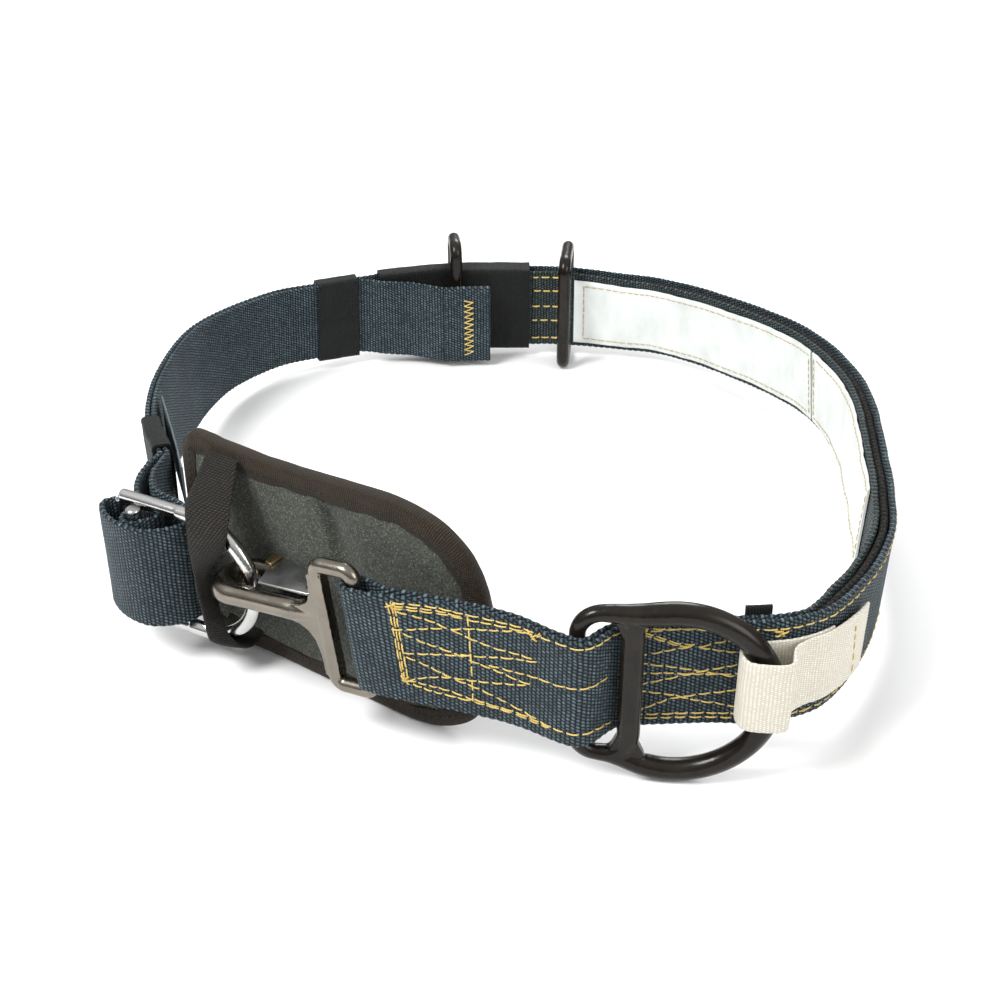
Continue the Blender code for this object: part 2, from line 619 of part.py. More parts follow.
def pad_pieces(felt_finish, binding_finish, strap_finish):
    """The felt pad, its bound edge and the strap that holds it to the buckle."""
    rows = spline(np.array(PAD), 12.0, 1)
    along = unit(np.gradient(rows[:, :2], axis=0))
    side = np.stack([-along[:, 1], along[:, 0]], 1)
    place = np.concatenate([[0], np.cumsum(np.linalg.norm(np.diff(rows[:, :2], axis=0), axis=1))])
    outline = np.vstack([np.stack([place, rows[:, 2]], 1), np.stack([place, rows[:, 3]], 1)[::-1]])

    def bent(u, z, w):
        x = np.interp(u, place, rows[:, 0]) + w * np.interp(u, place, side[:, 0])
        y = np.interp(u, place, rows[:, 1]) + w * np.interp(u, place, side[:, 1])
        return np.array([x, y, z])

    edge = np.roll(outline, -1, axis=0) - np.roll(outline, 1, axis=0)
    inward = unit(np.stack([-edge[:, 1], edge[:, 0]], 1))
    step = BINDING_WALL + GAP
    rim = [bent(u + du * step, z + dz * step, 0.0) for (u, z), (du, dz) in zip(outline, inward)]
    slab("pad_felt", np.stack([rim[: len(rows)], rim[: len(rows) - 1 : -1]], 1), PAD_THICK, felt_finish)
    inner = PAD_THICK / 2 + GAP
    outer = inner + BINDING_WALL
    section = (
        (0.0, -outer),
        (BINDING_WIDTH, -outer),
        (BINDING_WIDTH, -inner),
        (BINDING_WALL, -inner),
        (BINDING_WALL, inner),
        (BINDING_WIDTH, inner),
        (BINDING_WIDTH, outer),
        (0.0, outer),
    )
    points = [bent(u + du * s, z + dz * s, w) for (u, z), (du, dz) in zip(outline, inward) for s, w in section]
    mesh_object("pad_binding", centred(points), grid_faces(len(outline), 8, True), binding_finish)
    slab("pad_strap", spline_sheet(PAD_STRAP), 1.6, strap_finish)


def spline_sheet(rows):
    """A sheet of left, middle and right points along a strap, smoothed along its length."""
    fine = spline(np.array([[*left, *middle, *right] for left, middle, right in rows]), 9.0, 2)
    return fine.reshape(len(fine), 3, 3)


def slab(name, grid, thick, finish):
    """A soft sheet of this thickness whose middle is the grid of points."""
    grid = np.asarray(grid, float)
    normal = unit(np.cross(np.gradient(grid, axis=0), np.gradient(grid, axis=1)))
    rows, columns = grid.shape[:2]
    front, back = grid + normal * thick / 2, grid - normal * thick / 2
    rings = np.concatenate([front, back[:, ::-1]], axis=1)
    return mesh_object(name, centred(rings.reshape(-1, 3)), sheet_faces(rows, columns), finish)


def sheet_faces(rows, columns):
    """The long faces of a slab as quads, and its two ends as quads across the thickness."""
    around = 2 * columns
    faces = grid_faces(rows, around)[:-2]
    for first in (0, (rows - 1) * around):
        for j in range(columns - 1):
            faces.append((first + j, first + j + 1, first + around - 2 - j, first + around - 1 - j))
    return faces


def stow_strap(waist, finish):
    """The cream tape: sewn to the belt's outer face, round the D-ring's eye and back to its end."""
    start = waist.mark["ring right"]
    under, up_under = waist.edge(waist.stretch(start + 14, start - 6), 0.9, 8.0)
    over, up_over = waist.edge(waist.stretch(start + 3, start + 29), 2.5, 8.0)
    middle = np.column_stack([np.array(STOW_TURN), np.full(len(STOW_TURN), STOW_LOW)])
    lower = np.vstack([under, middle, over])
    upward = np.vstack([up_under, np.tile([0.0, 0.0, 1.0], (len(middle), 1)), up_over])
    ribbon("stow_strap", lower, upward, STOW_WIDTH, 1.2, finish)


def main():
    clear_scene()
    web = material("webbing", (0.03, 0.045, 0.06), 0.75)
    dark_web = material("dark_webbing", (0.03, 0.032, 0.03), 0.85)
    core = material("core", (0.01, 0.01, 0.01), 0.9)
    felt = material("felt", (0.08, 0.09, 0.08), 0.95)
    binding = material("binding", (0.045, 0.035, 0.028), 0.85)
    label = material("label_vinyl", (0.78, 0.8, 0.78), 0.4)
    tape = material("cream_tape", (0.72, 0.7, 0.62), 0.7)
    satin = material("satin_steel", (0.55, 0.52, 0.48), 0.35, 1.0)
    bright = material("bright_steel", (0.75, 0.75, 0.76), 0.15, 1.0)
    black_steel = material("dark_steel", (0.05, 0.045, 0.04), 0.3, 1.0)

    waist = Waist(WAIST)
    hook = empty("hook_place", HOOK_PLACE, HOOK_TURN)
    front_webbing(waist, hook, web)
    adjusting_webbing(waist, web)
    right_layers(waist, web, core, label)
    sleeves(waist, dark_web, web)
    back_ring("ring_back_right", waist, waist.mark["ring two"], 3.9, -0.16, 30.0, black_steel)
    back_ring("ring_back_left", waist, waist.mark["ring one"], 3.9, 5.0, 18.5, black_steel)
    hook_pieces(hook, satin, bright)
    d_ring(empty("ring_place", RING_PLACE, (0, 0, RING_TURN)), black_steel)
    buckle_pieces(empty("buckle_place", BUCKLE_PLACE, (0, 0, BUCKLE_TURN)), bright)
    pad_pieces(felt, binding, dark_web)
    stow_strap(waist, tape)
    lower = np.array(CARD)
    ribbon("card", lower, np.tile([0.0, 0.0, 1.0], (len(lower), 1)), 20.0, 0.8, tape)


main()
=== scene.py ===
"""The escape belt's looks: webbing, stitching, felt, vinyl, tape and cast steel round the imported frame.

Tables and lengths are in millimetres; points become metres, in the frame's axes, when a mesh is made.
The waist table follows the outer face of the webbing, anticlockwise from the snap hook: "low" is the
height of its lower edge and "lean" how far its top tips outwards, in degrees. A place on the belt is
a distance along that path and a height above its lower edge, and an offset is measured outwards.
"""

import math

import bmesh
import bpy
import numpy as np
from mathutils import Euler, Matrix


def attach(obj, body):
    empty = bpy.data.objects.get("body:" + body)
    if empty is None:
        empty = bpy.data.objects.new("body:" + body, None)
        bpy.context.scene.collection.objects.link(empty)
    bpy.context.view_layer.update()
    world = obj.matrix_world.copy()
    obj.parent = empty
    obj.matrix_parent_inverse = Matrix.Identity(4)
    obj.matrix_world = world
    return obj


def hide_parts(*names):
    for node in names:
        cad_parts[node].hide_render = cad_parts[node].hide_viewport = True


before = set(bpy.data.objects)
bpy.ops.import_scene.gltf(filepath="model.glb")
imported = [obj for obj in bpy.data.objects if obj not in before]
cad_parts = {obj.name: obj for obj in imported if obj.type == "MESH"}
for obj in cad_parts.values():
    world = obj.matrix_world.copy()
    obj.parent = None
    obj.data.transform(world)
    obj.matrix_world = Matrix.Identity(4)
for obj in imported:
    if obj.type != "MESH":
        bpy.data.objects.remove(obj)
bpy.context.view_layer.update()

MM = 0.001
# Where the frame's origin lies in the tables' own axes.
CENTRE = np.array([5.06, 4.56, 0.0])
UP = np.array([0.0, 0.0, 1.0])

WEB_WIDTH = 44.5
WEB_THICK = 2.2
GAP = 0.3
PLY_GAP = 0.5
OUTER_PLY = -WEB_THICK / 2
INNER_PLY = OUTER_PLY - WEB_THICK - PLY_GAP
CORE_THICK = 3.8
LINING_PLY = -WEB_THICK - GAP - CORE_THICK - GAP - WEB_THICK / 2
LABEL_THICK = 0.9
LABEL_PLY = LINING_PLY - WEB_THICK / 2 - 0.35 - LABEL_THICK / 2
LABEL_MARGIN = 3.0
# The webbing's ribs: how far apart they lie, and how many points cross it.
RIB = 3.2
WEB_COLUMNS = 14
SLEEVE_WALL = 1.2
SLEEVE_CORNER = 2.0
CREASE_DEPTH = 0.55
CREASE_HALF_WIDTH = 1.1
# Where along the belt the webbing stops leaning with the hook's bar: start and length of the change.
LEAN_START = 8.0
LEAN_LENGTH = 22.0
# How far the stitches shift along the belt where it leans with the hook's bar.
LEAN_SHIFT = 4.6

# Columns: place, x, y, low, lean
WAIST = (
    ("hook bar", -49.0, -157.5, 26.1, -3.0),
    ("", -22.0, -164.0, 24.5, -3.0),
    ("", 2.0, -169.5, 22.0, -2.0),
    ("", 17.0, -176.0, 19.9, -0.5),
    ("", 26.0, -179.2, 19.0, 0.0),
    ("", 32.0, -177.2, 18.7, 0.0),
    ("", 37.0, -172.0, 18.5, 0.0),
    ("", 42.5, -167.8, 18.5, 0.0),
    ("", 50.0, -167.2, 19.0, 0.0),
    ("", 68.0, -167.4, 20.0, 0.0),
    ("", 90.0, -167.8, 20.5, 0.0),
    ("ring right", 104.0, -165.2, 20.5, 0.0),
    ("", 117.0, -157.0, 20.0, 0.0),
    ("", 133.0, -135.0, 18.5, 1.0),
    ("", 148.0, -103.0, 17.0, 2.0),
    ("label front", 156.0, -68.0, 15.5, 2.0),
    ("", 162.0, -30.0, 14.0, 1.0),
    ("", 166.5, 8.0, 12.5, 1.0),
    ("", 169.0, 40.0, 11.5, -2.0),
    ("label seam", 165.5, 80.0, 10.5, -7.0),
    ("", 151.0, 113.0, 9.5, -8.0),
    ("", 121.0, 150.0, 8.5, -10.0),
    ("", 93.5, 172.5, 8.0, -11.0),
    ("", 67.5, 181.0, 7.5, -9.0),
    ("ring two", 37.0, 186.0, 7.5, -5.0),
    ("sleeve right", 16.0, 186.5, 7.5, -4.0),
    ("ring one", -25.0, 185.0, 7.5, -3.0),
    ("sleeve left", -61.0, 178.5, 7.5, -5.0),
    ("keeper start", -75.0, 174.0, 7.5, -6.0),
    ("keeper end", -101.0, 163.0, 8.0, -7.0),
    ("", -122.0, 149.0, 9.0, -6.0),
    ("", -141.5, 121.0, 10.5, -3.0),
    ("", -150.5, 90.0, 12.0, 4.0),
    ("", -154.5, 55.0, 13.5, 5.0),
    ("", -155.0, 20.0, 15.0, 4.0),
    ("band start", -151.0, -14.0, 16.5, 2.0),
    ("buckle run", -141.0, -45.0, 18.0, 0.0),
)

HOOK_PLACE = (-62.5, -143.5, 46.6)
HOOK_TURN = (-2.0, 6.5, 150.0)
HOOK_BAR_RADIUS = 2.8
HOOK_BARS_APART = 16.0
HOOK_HALF_HEIGHT = 25.9
HOOK_CORNER = 3.6
HOOK_ROD = 4.25
SHANK_HEIGHT = 3.5
NOSE_X = 43.0
NOSE_RADIUS = 8.75
TIP_X = 34.0
HINGE = (10.0, -6.0)
GATE_HALF = 5.9
GATE_SHEET = 1.2

RING_PLACE = (44.5, -171.9, 38.34)
RING_TURN = (0.0, 0.0, -4.5)
EYE_RADIUS = 33.9
EYE_X = 16.0
EYE_ROD = 4.6
END_BAR_X = -18.3
END_ROD = 3.2
SLOT_HALF_HEIGHT = 30.2
SLOT_RISE = 2.6
SLOT_CORNER = 9.0

BACK_ROD = 3.3
BACK_HALF_HEIGHT = 29.2
BACK_CORNER = 5.0
# How far the back rings' outer sides stand off the belt's outer face.
BACK_OFF = 3.9

BUCKLE_PLACE = (-137.9, -91.7, 41.2)
BUCKLE_TURN = (0.0, 0.0, -28.0)
BUCKLE_HALF_HEIGHT = 29.2
BUCKLE_ARC = 26.3
BUCKLE_LOOP_ROD = 3.0
BUCKLE_LOOP_X = 24.7
BUCKLE_LOOP_START = 18.5
# The adjuster's plate: its two sides, half its thickness and half the height of its slots.
PLATE_LEFT = -8.0
PLATE_RIGHT = 26.0
PLATE_HALF = 1.3
PLATE_SLOT = 23.0
BAR_AT = (0.3, -4.7)
BAR_RADIUS = 3.0
BAR_HALF_LENGTH = 25.5
TAIL_LOW = 19.0
# The tab lies in front of the sleeve, lower than the belt, and the tail ends just inside it.
TAB_OFFSET = -20.7
TAB_DROP = -3.0
TAIL_STOP = 7.6
# The tail leaves the keeper and crosses in front of the sleeve: columns are distance, offset and drop.
TAIL_PATH = (
    (672.0, TAB_OFFSET, TAB_DROP),
    (680.0, -18.0, -2.0),
    (690.0, -14.0, -1.0),
    (700.0, -11.4, -0.5),
    (708.0, -9.8, 0.0),
    (715.0, -5.4, 0.0),
    (720.0, INNER_PLY, 0.0),
)
# The webbing through the buckle: columns are distance along it and distance in front of it.
THREADING = (
    (-22.5, -32.0),
    (-18.0, -20.0),
    (-10.5, -10.2),
    (-2.0, -6.2),
    (4.0, -4.8),
    (7.5, -1.5),
    (7.3, 2.6),
    (5.0, 5.4),
    (3.6, 8.1),
    (0.3, 9.5),
    (-3.0, 8.1),
    (-4.4, 5.4),
    (-4.3, 2.0),
    (-4.5, -1.6),
    (-9.3, -4.6),
    (-14.2, -3.4),
    (-17.4, 0.6),
    (-15.6, 4.8),
    (-9.0, 9.2),
    (0.0, 12.0),
    (8.6, 11.7),
    (16.0, 7.0),
    (20.2, 0.6),
    (19.6, -6.0),
    (13.0, -10.6),
    (5.0, -12.8),
    (-4.0, -14.6),
    (-11.0, -19.5),
    (-17.0, -28.0),
)

PAD_THICK = 5.5
# Columns: x, y of the pad's middle, then the heights of its lower and upper edge
PAD = (
    (-121.4, -75.9, 27.0, 82.5),
    (-120.2, -76.8, 15.5, 88.0),
    (-116.9, -79.1, 6.5, 91.8),
    (-112.4, -82.3, 2.2, 93.6),
    (-106.5, -86.2, 0.5, 95.0),
    (-88.0, -98.0, 0.3, 96.0),
    (-74.0, -108.0, 0.3, 96.0),
    (-58.0, -119.5, 0.3, 95.0),
    (-40.0, -132.5, 0.3, 95.0),
    (-28.0, -140.5, 0.6, 93.0),
    (-18.0, -146.0, 3.0, 88.0),
    (-9.0, -149.8, 9.0, 78.0),
    (-4.0, -151.5, 18.0, 65.0),
    (-2.0, -152.2, 30.0, 52.0),
)
# The pad's strap: rows of left, middle and right points from the pad's top edge to its lower edge.
PAD_STRAP = (
    ((-110.2, -90.0, 89.0), (-104.0, -94.0, 89.0), (-97.8, -97.95, 88.6)),
    ((-113.4, -97.0, 81.8), (-106.2, -102.6, 81.8), (-98.6, -107.2, 81.8)),
    ((-117.2, -104.5, 74.5), (-108.7, -110.8, 74.5), (-99.4, -115.8, 74.5)),
    ((-116.6, -111.2, 68.5), (-108.4, -115.8, 68.5), (-100.2, -118.8, 68.5)),
    ((-116.0, -114.0, 61.0), (-108.9, -117.2, 61.0), (-102.4, -117.4, 61.0)),
    ((-115.4, -115.2, 54.0), (-110.6, -115.6, 54.0), (-107.0, -112.2, 54.0)),
    ((-114.8, -115.6, 44.0), (-112.4, -111.5, 44.0), (-111.2, -106.0, 44.0)),
    ((-113.8, -115.2, 33.0), (-111.6, -111.3, 33.0), (-109.6, -106.6, 33.0)),
    ((-113.0, -115.0, 22.5), (-109.2, -114.6, 21.5), (-105.4, -112.8, 21.0)),
    ((-112.0, -113.6, 18.0), (-106.6, -114.6, 16.4), (-100.6, -113.6, 15.4)),
    ((-110.6, -103.5, 14.0), (-103.6, -107.2, 12.6), (-96.6, -109.6, 11.8)),
    ((-108.6, -90.6, 14.0), (-101.0, -95.6, 12.6), (-93.8, -100.3, 11.6)),
)

# The cream tape turns round the D-ring's rod, and its end reaches past the ring along the belt.
STOW_LOW = 28.5
STOW_WIDTH = 29.0
STOW_UP_BELT = 8.0
STOW_THICK = 1.2
STOW_REACH = 36.0
STOW_TURN = (
    (88.5, -169.0),
    (84.8, -169.2),
    (82.7, -171.4),
    (82.2, -175.5),
    (83.2, -179.6),
    (86.4, -181.6),
    (95.0, -182.4),
    (99.0, -180.8),
    (100.0, -176.5),
    (101.6, -171.0),
)
# Lower edge of the strip of card inside the left side.
CARD = ((-150.5, 12.0, 39.5), (-140.0, -20.0, 39.5), (-130.0, -52.0, 39.5))


# Curves

def unit(vectors):
    return vectors / np.maximum(np.linalg.norm(vectors, axis=-1, keepdims=True), 1e-12)


def spline(rows, longest=8.0, fewest=3):
    """Catmull-Rom points through the rows, every column smoothed, no further apart than longest."""
    rows = np.asarray(rows, float)
    ends = np.vstack([2 * rows[0] - rows[1], rows, 2 * rows[-1] - rows[-2]])
    points = []
    for before, start, stop, after in zip(ends, ends[1:], ends[2:], ends[3:]):
        steps = max(fewest, math.ceil(np.linalg.norm((stop - start)[:2]) / longest))
        for t in np.arange(steps) / steps:
            bend = 2 * before - 5 * start + 4 * stop - after
            twist = 3 * (start - stop) + after - before
            points.append(start + 0.5 * t * (stop - before + t * (bend + t * twist)))
    points.append(rows[-1])
    return np.array(points)


def run_along(points):
    """The distance of each point along a line of points."""
    return np.concatenate([[0], np.cumsum(np.linalg.norm(np.diff(points, axis=0), axis=1))])


def spaced(rows, step, measured=3):
    """Rows at even distances along their first columns, and those distances."""
    rows = np.asarray(rows, float)
    run = run_along(rows[:, :measured])
    even = np.linspace(0, run[-1], max(2, round(run[-1] / step) + 1))
    return np.stack([np.interp(even, run, column) for column in rows.T], 1), even


def arc(centre, radius, start, stop, steps):
    """Points of an arc in a plane, angles in degrees."""
    turn = np.radians(np.linspace(start, stop, steps + 1))
    return np.stack([centre[0] + radius * np.cos(turn), centre[1] + radius * np.sin(turn)], 1)


def round_box(left, right, half_height, corner, steps=8):
    """The outline of an upright rounded rectangle, anticlockwise from its upper right corner."""
    corners = (
        (right - corner, half_height - corner, 0),
        (left + corner, half_height - corner, 90),
        (left + corner, -half_height + corner, 180),
        (right - corner, -half_height + corner, 270),
    )
    return np.vstack([arc((x, z), corner, turn, turn + 90, steps) for x, z, turn in corners])


class Waist:
    """The belt's path: lower edge, upward and outward directions at any distance along it."""

    def __init__(self, table):
        rows = np.array([row[1:] for row in table])
        self.fine = spline(rows, 2.5)
        self.length = run_along(self.fine[:, :2])
        nearest = [np.linalg.norm(self.fine[:, :2] - row[:2], axis=1).argmin() for row in rows]
        self.mark = {row[0]: self.length[i] for row, i in zip(table, nearest) if row[0]}

    def at(self, distances):
        distances = np.atleast_1d(np.asarray(distances, float))
        row = np.stack([np.interp(distances, self.length, column) for column in self.fine.T], 1)
        near, far = (
            np.stack([np.interp(distances + side, self.length, c) for c in self.fine.T[:2]], 1)
            for side in (-2.0, 2.0)
        )
        along = unit(far - near)
        lean = np.radians(row[:, 3])[:, None]
        out = np.stack([along[:, 1], -along[:, 0], np.zeros(len(row))], 1)
        upward = np.cos(lean) * UP + np.sin(lean) * out
        outward = np.cos(lean) * out - np.sin(lean) * UP
        return row[:, :3], upward, outward

    def edge(self, distances, offset, low=0.0):
        """Lower-edge points of a ply at this offset, and their upward directions."""
        point, up, outward = self.at(distances)
        return point + np.reshape(offset, (-1, 1)) * outward + low * up, up


waist = Waist(WAIST)


def span(start, stop, step=3.0):
    """Distances from start to stop, either way."""
    return np.linspace(start, stop, max(2, round(abs(stop - start) / step) + 1))


def clear_of_hook(distance):
    """0 beside the hook's bar, with which the webbing leans, and 1 where it stands as the waist does."""
    return np.clip((distance - LEAN_START) / LEAN_LENGTH, 0, 1)


# Meshes

def mesh_piece(name, points, faces, finish, body="belt", uv=None, smooth=True):
    """A piece from points in millimetres; uv holds a place on the cloth for each point, in millimetres."""
    mesh = bpy.data.meshes.new(name)
    mesh.from_pydata(((np.asarray(points) - CENTRE) * MM).tolist(), [], faces)
    if uv is not None:
        corners = np.empty(len(mesh.loops), np.int32)
        mesh.loops.foreach_get("vertex_index", corners)
        layer = mesh.uv_layers.new(name="cloth")
        layer.data.foreach_set("uv", np.asarray(uv, np.float32)[corners].ravel())
    mesh.materials.append(finish)
    if smooth:
        mesh.shade_smooth()
        mesh.set_sharp_from_angle(angle=math.radians(50))
    mesh.update()
    piece = bpy.data.objects.new(name, mesh)
    bpy.context.scene.collection.objects.link(piece)
    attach(piece, body)
    return piece


def grid_faces(rows, columns, wrap=False, loop=False):
    """Quads of a grid of points. With wrap the last column meets the first, and with loop the last row."""
    i, j = np.meshgrid(np.arange(rows - 1 + loop), np.arange(columns - 1 + wrap), indexing="ij")
    here, after = i * columns, (i + 1) % rows * columns
    k = (j + 1) % columns
    return np.stack([here + j, here + k, after + k, after + j], -1).reshape(-1, 4).tolist()


def waves(distances, heights, seed, size, longest=34.0):
    """Gentle waviness of hand-worn cloth: a few fixed sine waves over distance and height."""
    rng = np.random.default_rng(seed)
    total = 0.0
    for octave in range(4):
        length = longest / (1.0 + octave)
        phase = rng.uniform(0, 2 * np.pi, 2)
        slope = rng.uniform(-0.5, 0.5)
        turn = 2 * np.pi * (distances + slope * heights) / length + phase[0]
        total = total + np.sin(turn) * np.cos(heights / 13.0 + phase[1]) / (1.0 + octave)
    return size * total / 2.0


def strip(
    name, lower, up, finish, width=WEB_WIDTH, thick=WEB_THICK, seed=1,
    step=0.6, wave=0.25, scallop=0.2, ribbing=0.06,
):
    """A strip of webbing with rounded selvedges, from coarse lower-edge points and upward directions."""
    coarse = spline(np.hstack([lower, np.broadcast_to(up, lower.shape)]), 2.5, 2)
    rows, run = spaced(coarse, step)
    foot, rise = rows[:, :3], unit(rows[:, 3:])
    along = unit(np.gradient(foot, axis=0))
    out = unit(np.cross(rise, along))
    half = thick / 2
    rounding = np.array([0.0, 0.12, 0.45, 1.0]) * half
    flat = np.linspace(half, width - half, WEB_COLUMNS)[1:-1]
    level = np.concatenate([rounding, flat, width - rounding[::-1]])
    side = np.sqrt(np.clip(1 - (1 - np.clip(np.minimum(level, width - level) / half, 0, 1)) ** 2, 0, 1))
    across = np.concatenate([level, level[-2:0:-1], level[:1]])
    depth = np.concatenate([side, -side[-2:0:-1], side[:1]]) * half
    wobble = waves(run[:, None], across[None, :], seed, wave)
    off_middle = across - width / 2
    selvedge = np.where(np.abs(off_middle) > width / 2 - half, 1, 0)
    edge = scallop * np.sin(2 * np.pi * run / RIB)[:, None] * selvedge * np.sign(off_middle)
    ribbed = 1 + ribbing * np.cos(2 * np.pi * run / RIB)
    points = (
        foot[:, None]
        + (across + edge)[..., None] * rise[:, None]
        + (ribbed[:, None] * depth + wobble)[..., None] * out[:, None]
    )
    count = len(across)
    u = np.repeat(run, count)
    v = np.tile(across, len(run))
    faces = grid_faces(len(run), count)
    faces += [list(range(count - 1))[::-1], [(len(run) - 1) * count + j for j in range(count - 1)]]
    return mesh_piece(name, points.reshape(-1, 3), faces, finish, uv=np.stack([u, v], 1))


def belt_tube(name, start, stop, offsets, low, high, finish, seed, crease=None):
    """A band round the belt, pressed in a line at the height of its crease, if it has one.

    Offsets, low and high are the sides of the space in it.
    """
    run = span(start, stop, 1.2)
    point, up, outward = waist.at(run)
    loops = []
    for grow in (SLEEVE_WALL, 0.0):
        left, right = offsets[1] - grow, offsets[0] + grow
        radius = SLEEVE_CORNER if grow else SLEEVE_CORNER - 0.8
        box = round_box(left, right, (high - low) / 2 + grow, radius, 5)
        box[:, 1] += (high + low) / 2
        box, turn = spaced(np.vstack([box, box[:1]]), 1.6, 2)
        loops.append((box, turn))
    points, uv, faces = [], [], []
    for index, (box, turn) in enumerate(loops):
        first = len(points)
        ripple = waves(run[:, None], turn[None, :], seed, 0.3, 17.0)
        ripple[:, -1] = ripple[:, 0]
        if crease is not None:
            pressed_in = np.exp(-(((box[None, :, 1] - crease) / CREASE_HALF_WIDTH) ** 2))
            ripple = ripple - CREASE_DEPTH * pressed_in
        grid = point[:, None] + box[None, :, :1] * outward[:, None] + box[None, :, 1:] * up[:, None]
        side = np.sign(box[:, 0] - (offsets[0] + offsets[1]) / 2)
        grid = grid + (ripple * side[None, :])[..., None] * outward[:, None]
        points += grid.reshape(-1, 3).tolist()
        uv += np.stack([np.repeat(run, len(turn)), np.tile(turn, len(run))], 1).tolist()
        quads = np.array(grid_faces(len(run), len(turn))) + first
        faces += (quads if index == 0 else quads[:, ::-1]).tolist()
    outer, inner = len(loops[0][1]), len(loops[1][1])
    base = len(run) * outer
    for row in (0, len(run) - 1):
        shares = np.round(np.linspace(0, inner - 1, outer)).astype(int)
        for j in range(outer - 1):
            a, b = row * outer + j, row * outer + j + 1
            c, d = base + row * inner + shares[j + 1], base + row * inner + shares[j]
            faces.append([a, b, int(c), int(d)] if c != d else [a, b, int(c)])
    return mesh_piece(name, points, faces, finish, uv=uv)


def sheet_piece(name, grid, thick, finish):
    """A soft sheet of this thickness whose middle is the grid of points, with rounded edges."""
    grid = np.asarray(grid, float)
    rows, columns = grid.shape[:2]
    normal = unit(np.cross(np.gradient(grid, axis=0), np.gradient(grid, axis=1)))
    along, across = run_along(grid[:, columns // 2]), run_along(grid[rows // 2])
    place = np.stack(np.meshgrid(along, across, indexing="ij"), -1)
    thin = np.ones(columns)
    thin[[0, -1]] = 0.35
    half = (thick / 2 * thin)[None, :, None]
    loop = np.concatenate([grid + normal * half, (grid - normal * half)[:, ::-1]], 1)
    places = np.concatenate([place, place[:, ::-1]], 1)
    around = 2 * columns
    faces = grid_faces(rows, around, True)
    for first in (0, (rows - 1) * around):
        faces += [
            [first + j, first + j + 1, first + around - 2 - j, first + around - 1 - j]
            for j in range(columns - 1)
        ]
    return mesh_piece(name, loop.reshape(-1, 3), faces, finish, uv=places.reshape(-1, 2))


def rod(path, radii, normal, sides=20, closed=False):
    """A rod along a path in one plane, as points and faces."""
    path = np.asarray(path, float)
    if closed:
        along = np.roll(path, -1, axis=0) - np.roll(path, 1, axis=0)
    else:
        along = np.gradient(path, axis=0)
    across = unit(np.cross(along, normal))
    radii = np.broadcast_to(np.asarray(radii, float), (len(path), 2))
    turn = 2 * np.pi * np.arange(sides) / sides
    ring = (
        path[:, None]
        + np.cos(turn)[None, :, None] * (radii[:, :1] * across)[:, None]
        + np.sin(turn)[None, :, None] * (radii[:, 1:] * np.asarray(normal, float))[:, None]
    )
    count = len(path)
    faces = grid_faces(count, sides, True, closed)
    if not closed:
        faces += [list(range(sides))[::-1], [(count - 1) * sides + j for j in range(sides)]]
    return ring.reshape(-1, 3), faces


def plate(outline, low, high, axis):
    """An outline in the two other axes, drawn out along the axis, as points and faces."""
    count = len(outline)
    points = np.insert(np.tile(outline, (2, 1)), axis, np.repeat([low, high], count), axis=1)
    faces = [[j, (j + 1) % count, count + (j + 1) % count, count + j] for j in range(count)]
    return points, faces + [list(range(count))[::-1], list(range(count, 2 * count))]


def placed(points, place, turn):
    """Points in a piece's own axes, moved to the belt's."""
    matrix = np.array(Euler([math.radians(angle) for angle in turn]).to_matrix())
    return np.asarray(points) @ matrix.T + np.asarray(place)


def gathered(name, shapes, place, turn, finish, body="belt"):
    """One piece from shapes in a place's own axes, each its points and faces."""
    points, faces = [], []
    for shape_points, shape_faces in shapes:
        first = len(points)
        points += placed(shape_points, place, turn).tolist()
        faces += [[first + corner for corner in face] for face in shape_faces]
    return mesh_piece(name, points, faces, finish, body, smooth=False)


def cast(name, shapes, place, turn, finish, voxel=0.45, smooth=5):
    """One casting from overlapping shapes, with its corners rounded as a foundry leaves them."""
    piece = gathered(name, shapes, place, turn, finish)
    merge = piece.modifiers.new("merge", "REMESH")
    merge.mode = "VOXEL"
    merge.voxel_size = voxel * MM
    merge.adaptivity = 0.0
    relax = piece.modifiers.new("relax", "SMOOTH")
    relax.factor = 0.5
    relax.iterations = smooth
    return baked(piece)


def pressed(name, shapes, place, turn, finish, edge, body="belt"):
    """Sheet metal or a turned pin: shapes with crisp corners and a small rounded edge."""
    piece = gathered(name, shapes, place, turn, finish, body)
    shape = bmesh.new()
    shape.from_mesh(piece.data)
    bmesh.ops.recalc_face_normals(shape, faces=shape.faces)
    shape.to_mesh(piece.data)
    shape.free()
    bevel = piece.modifiers.new("edge", "BEVEL")
    bevel.width = edge * MM
    bevel.segments = 3
    bevel.limit_method = "ANGLE"
    bevel.angle_limit = math.radians(35)
    baked(piece)
    piece.data.set_sharp_from_angle(angle=math.radians(50))
    return piece


def baked(piece):
    """The piece with its modifiers turned into plain mesh."""
    graph = bpy.context.evaluated_depsgraph_get()
    mesh = bpy.data.meshes.new_from_object(piece.evaluated_get(graph))
    finish = piece.data.materials[0]
    piece.modifiers.clear()
    piece.data = mesh
    if not mesh.materials:
        mesh.materials.append(finish)
    mesh.shade_smooth()
    return piece


# Shader nodes

def fill(tree, node, inputs):
    """Sets a node's inputs, by name or number, or links them where the value is a socket."""
    for name, value in inputs.items():
        if isinstance(value, bpy.types.NodeSocket):
            tree.links.new(value, node.inputs[name])
        else:
            node.inputs[name].default_value = value


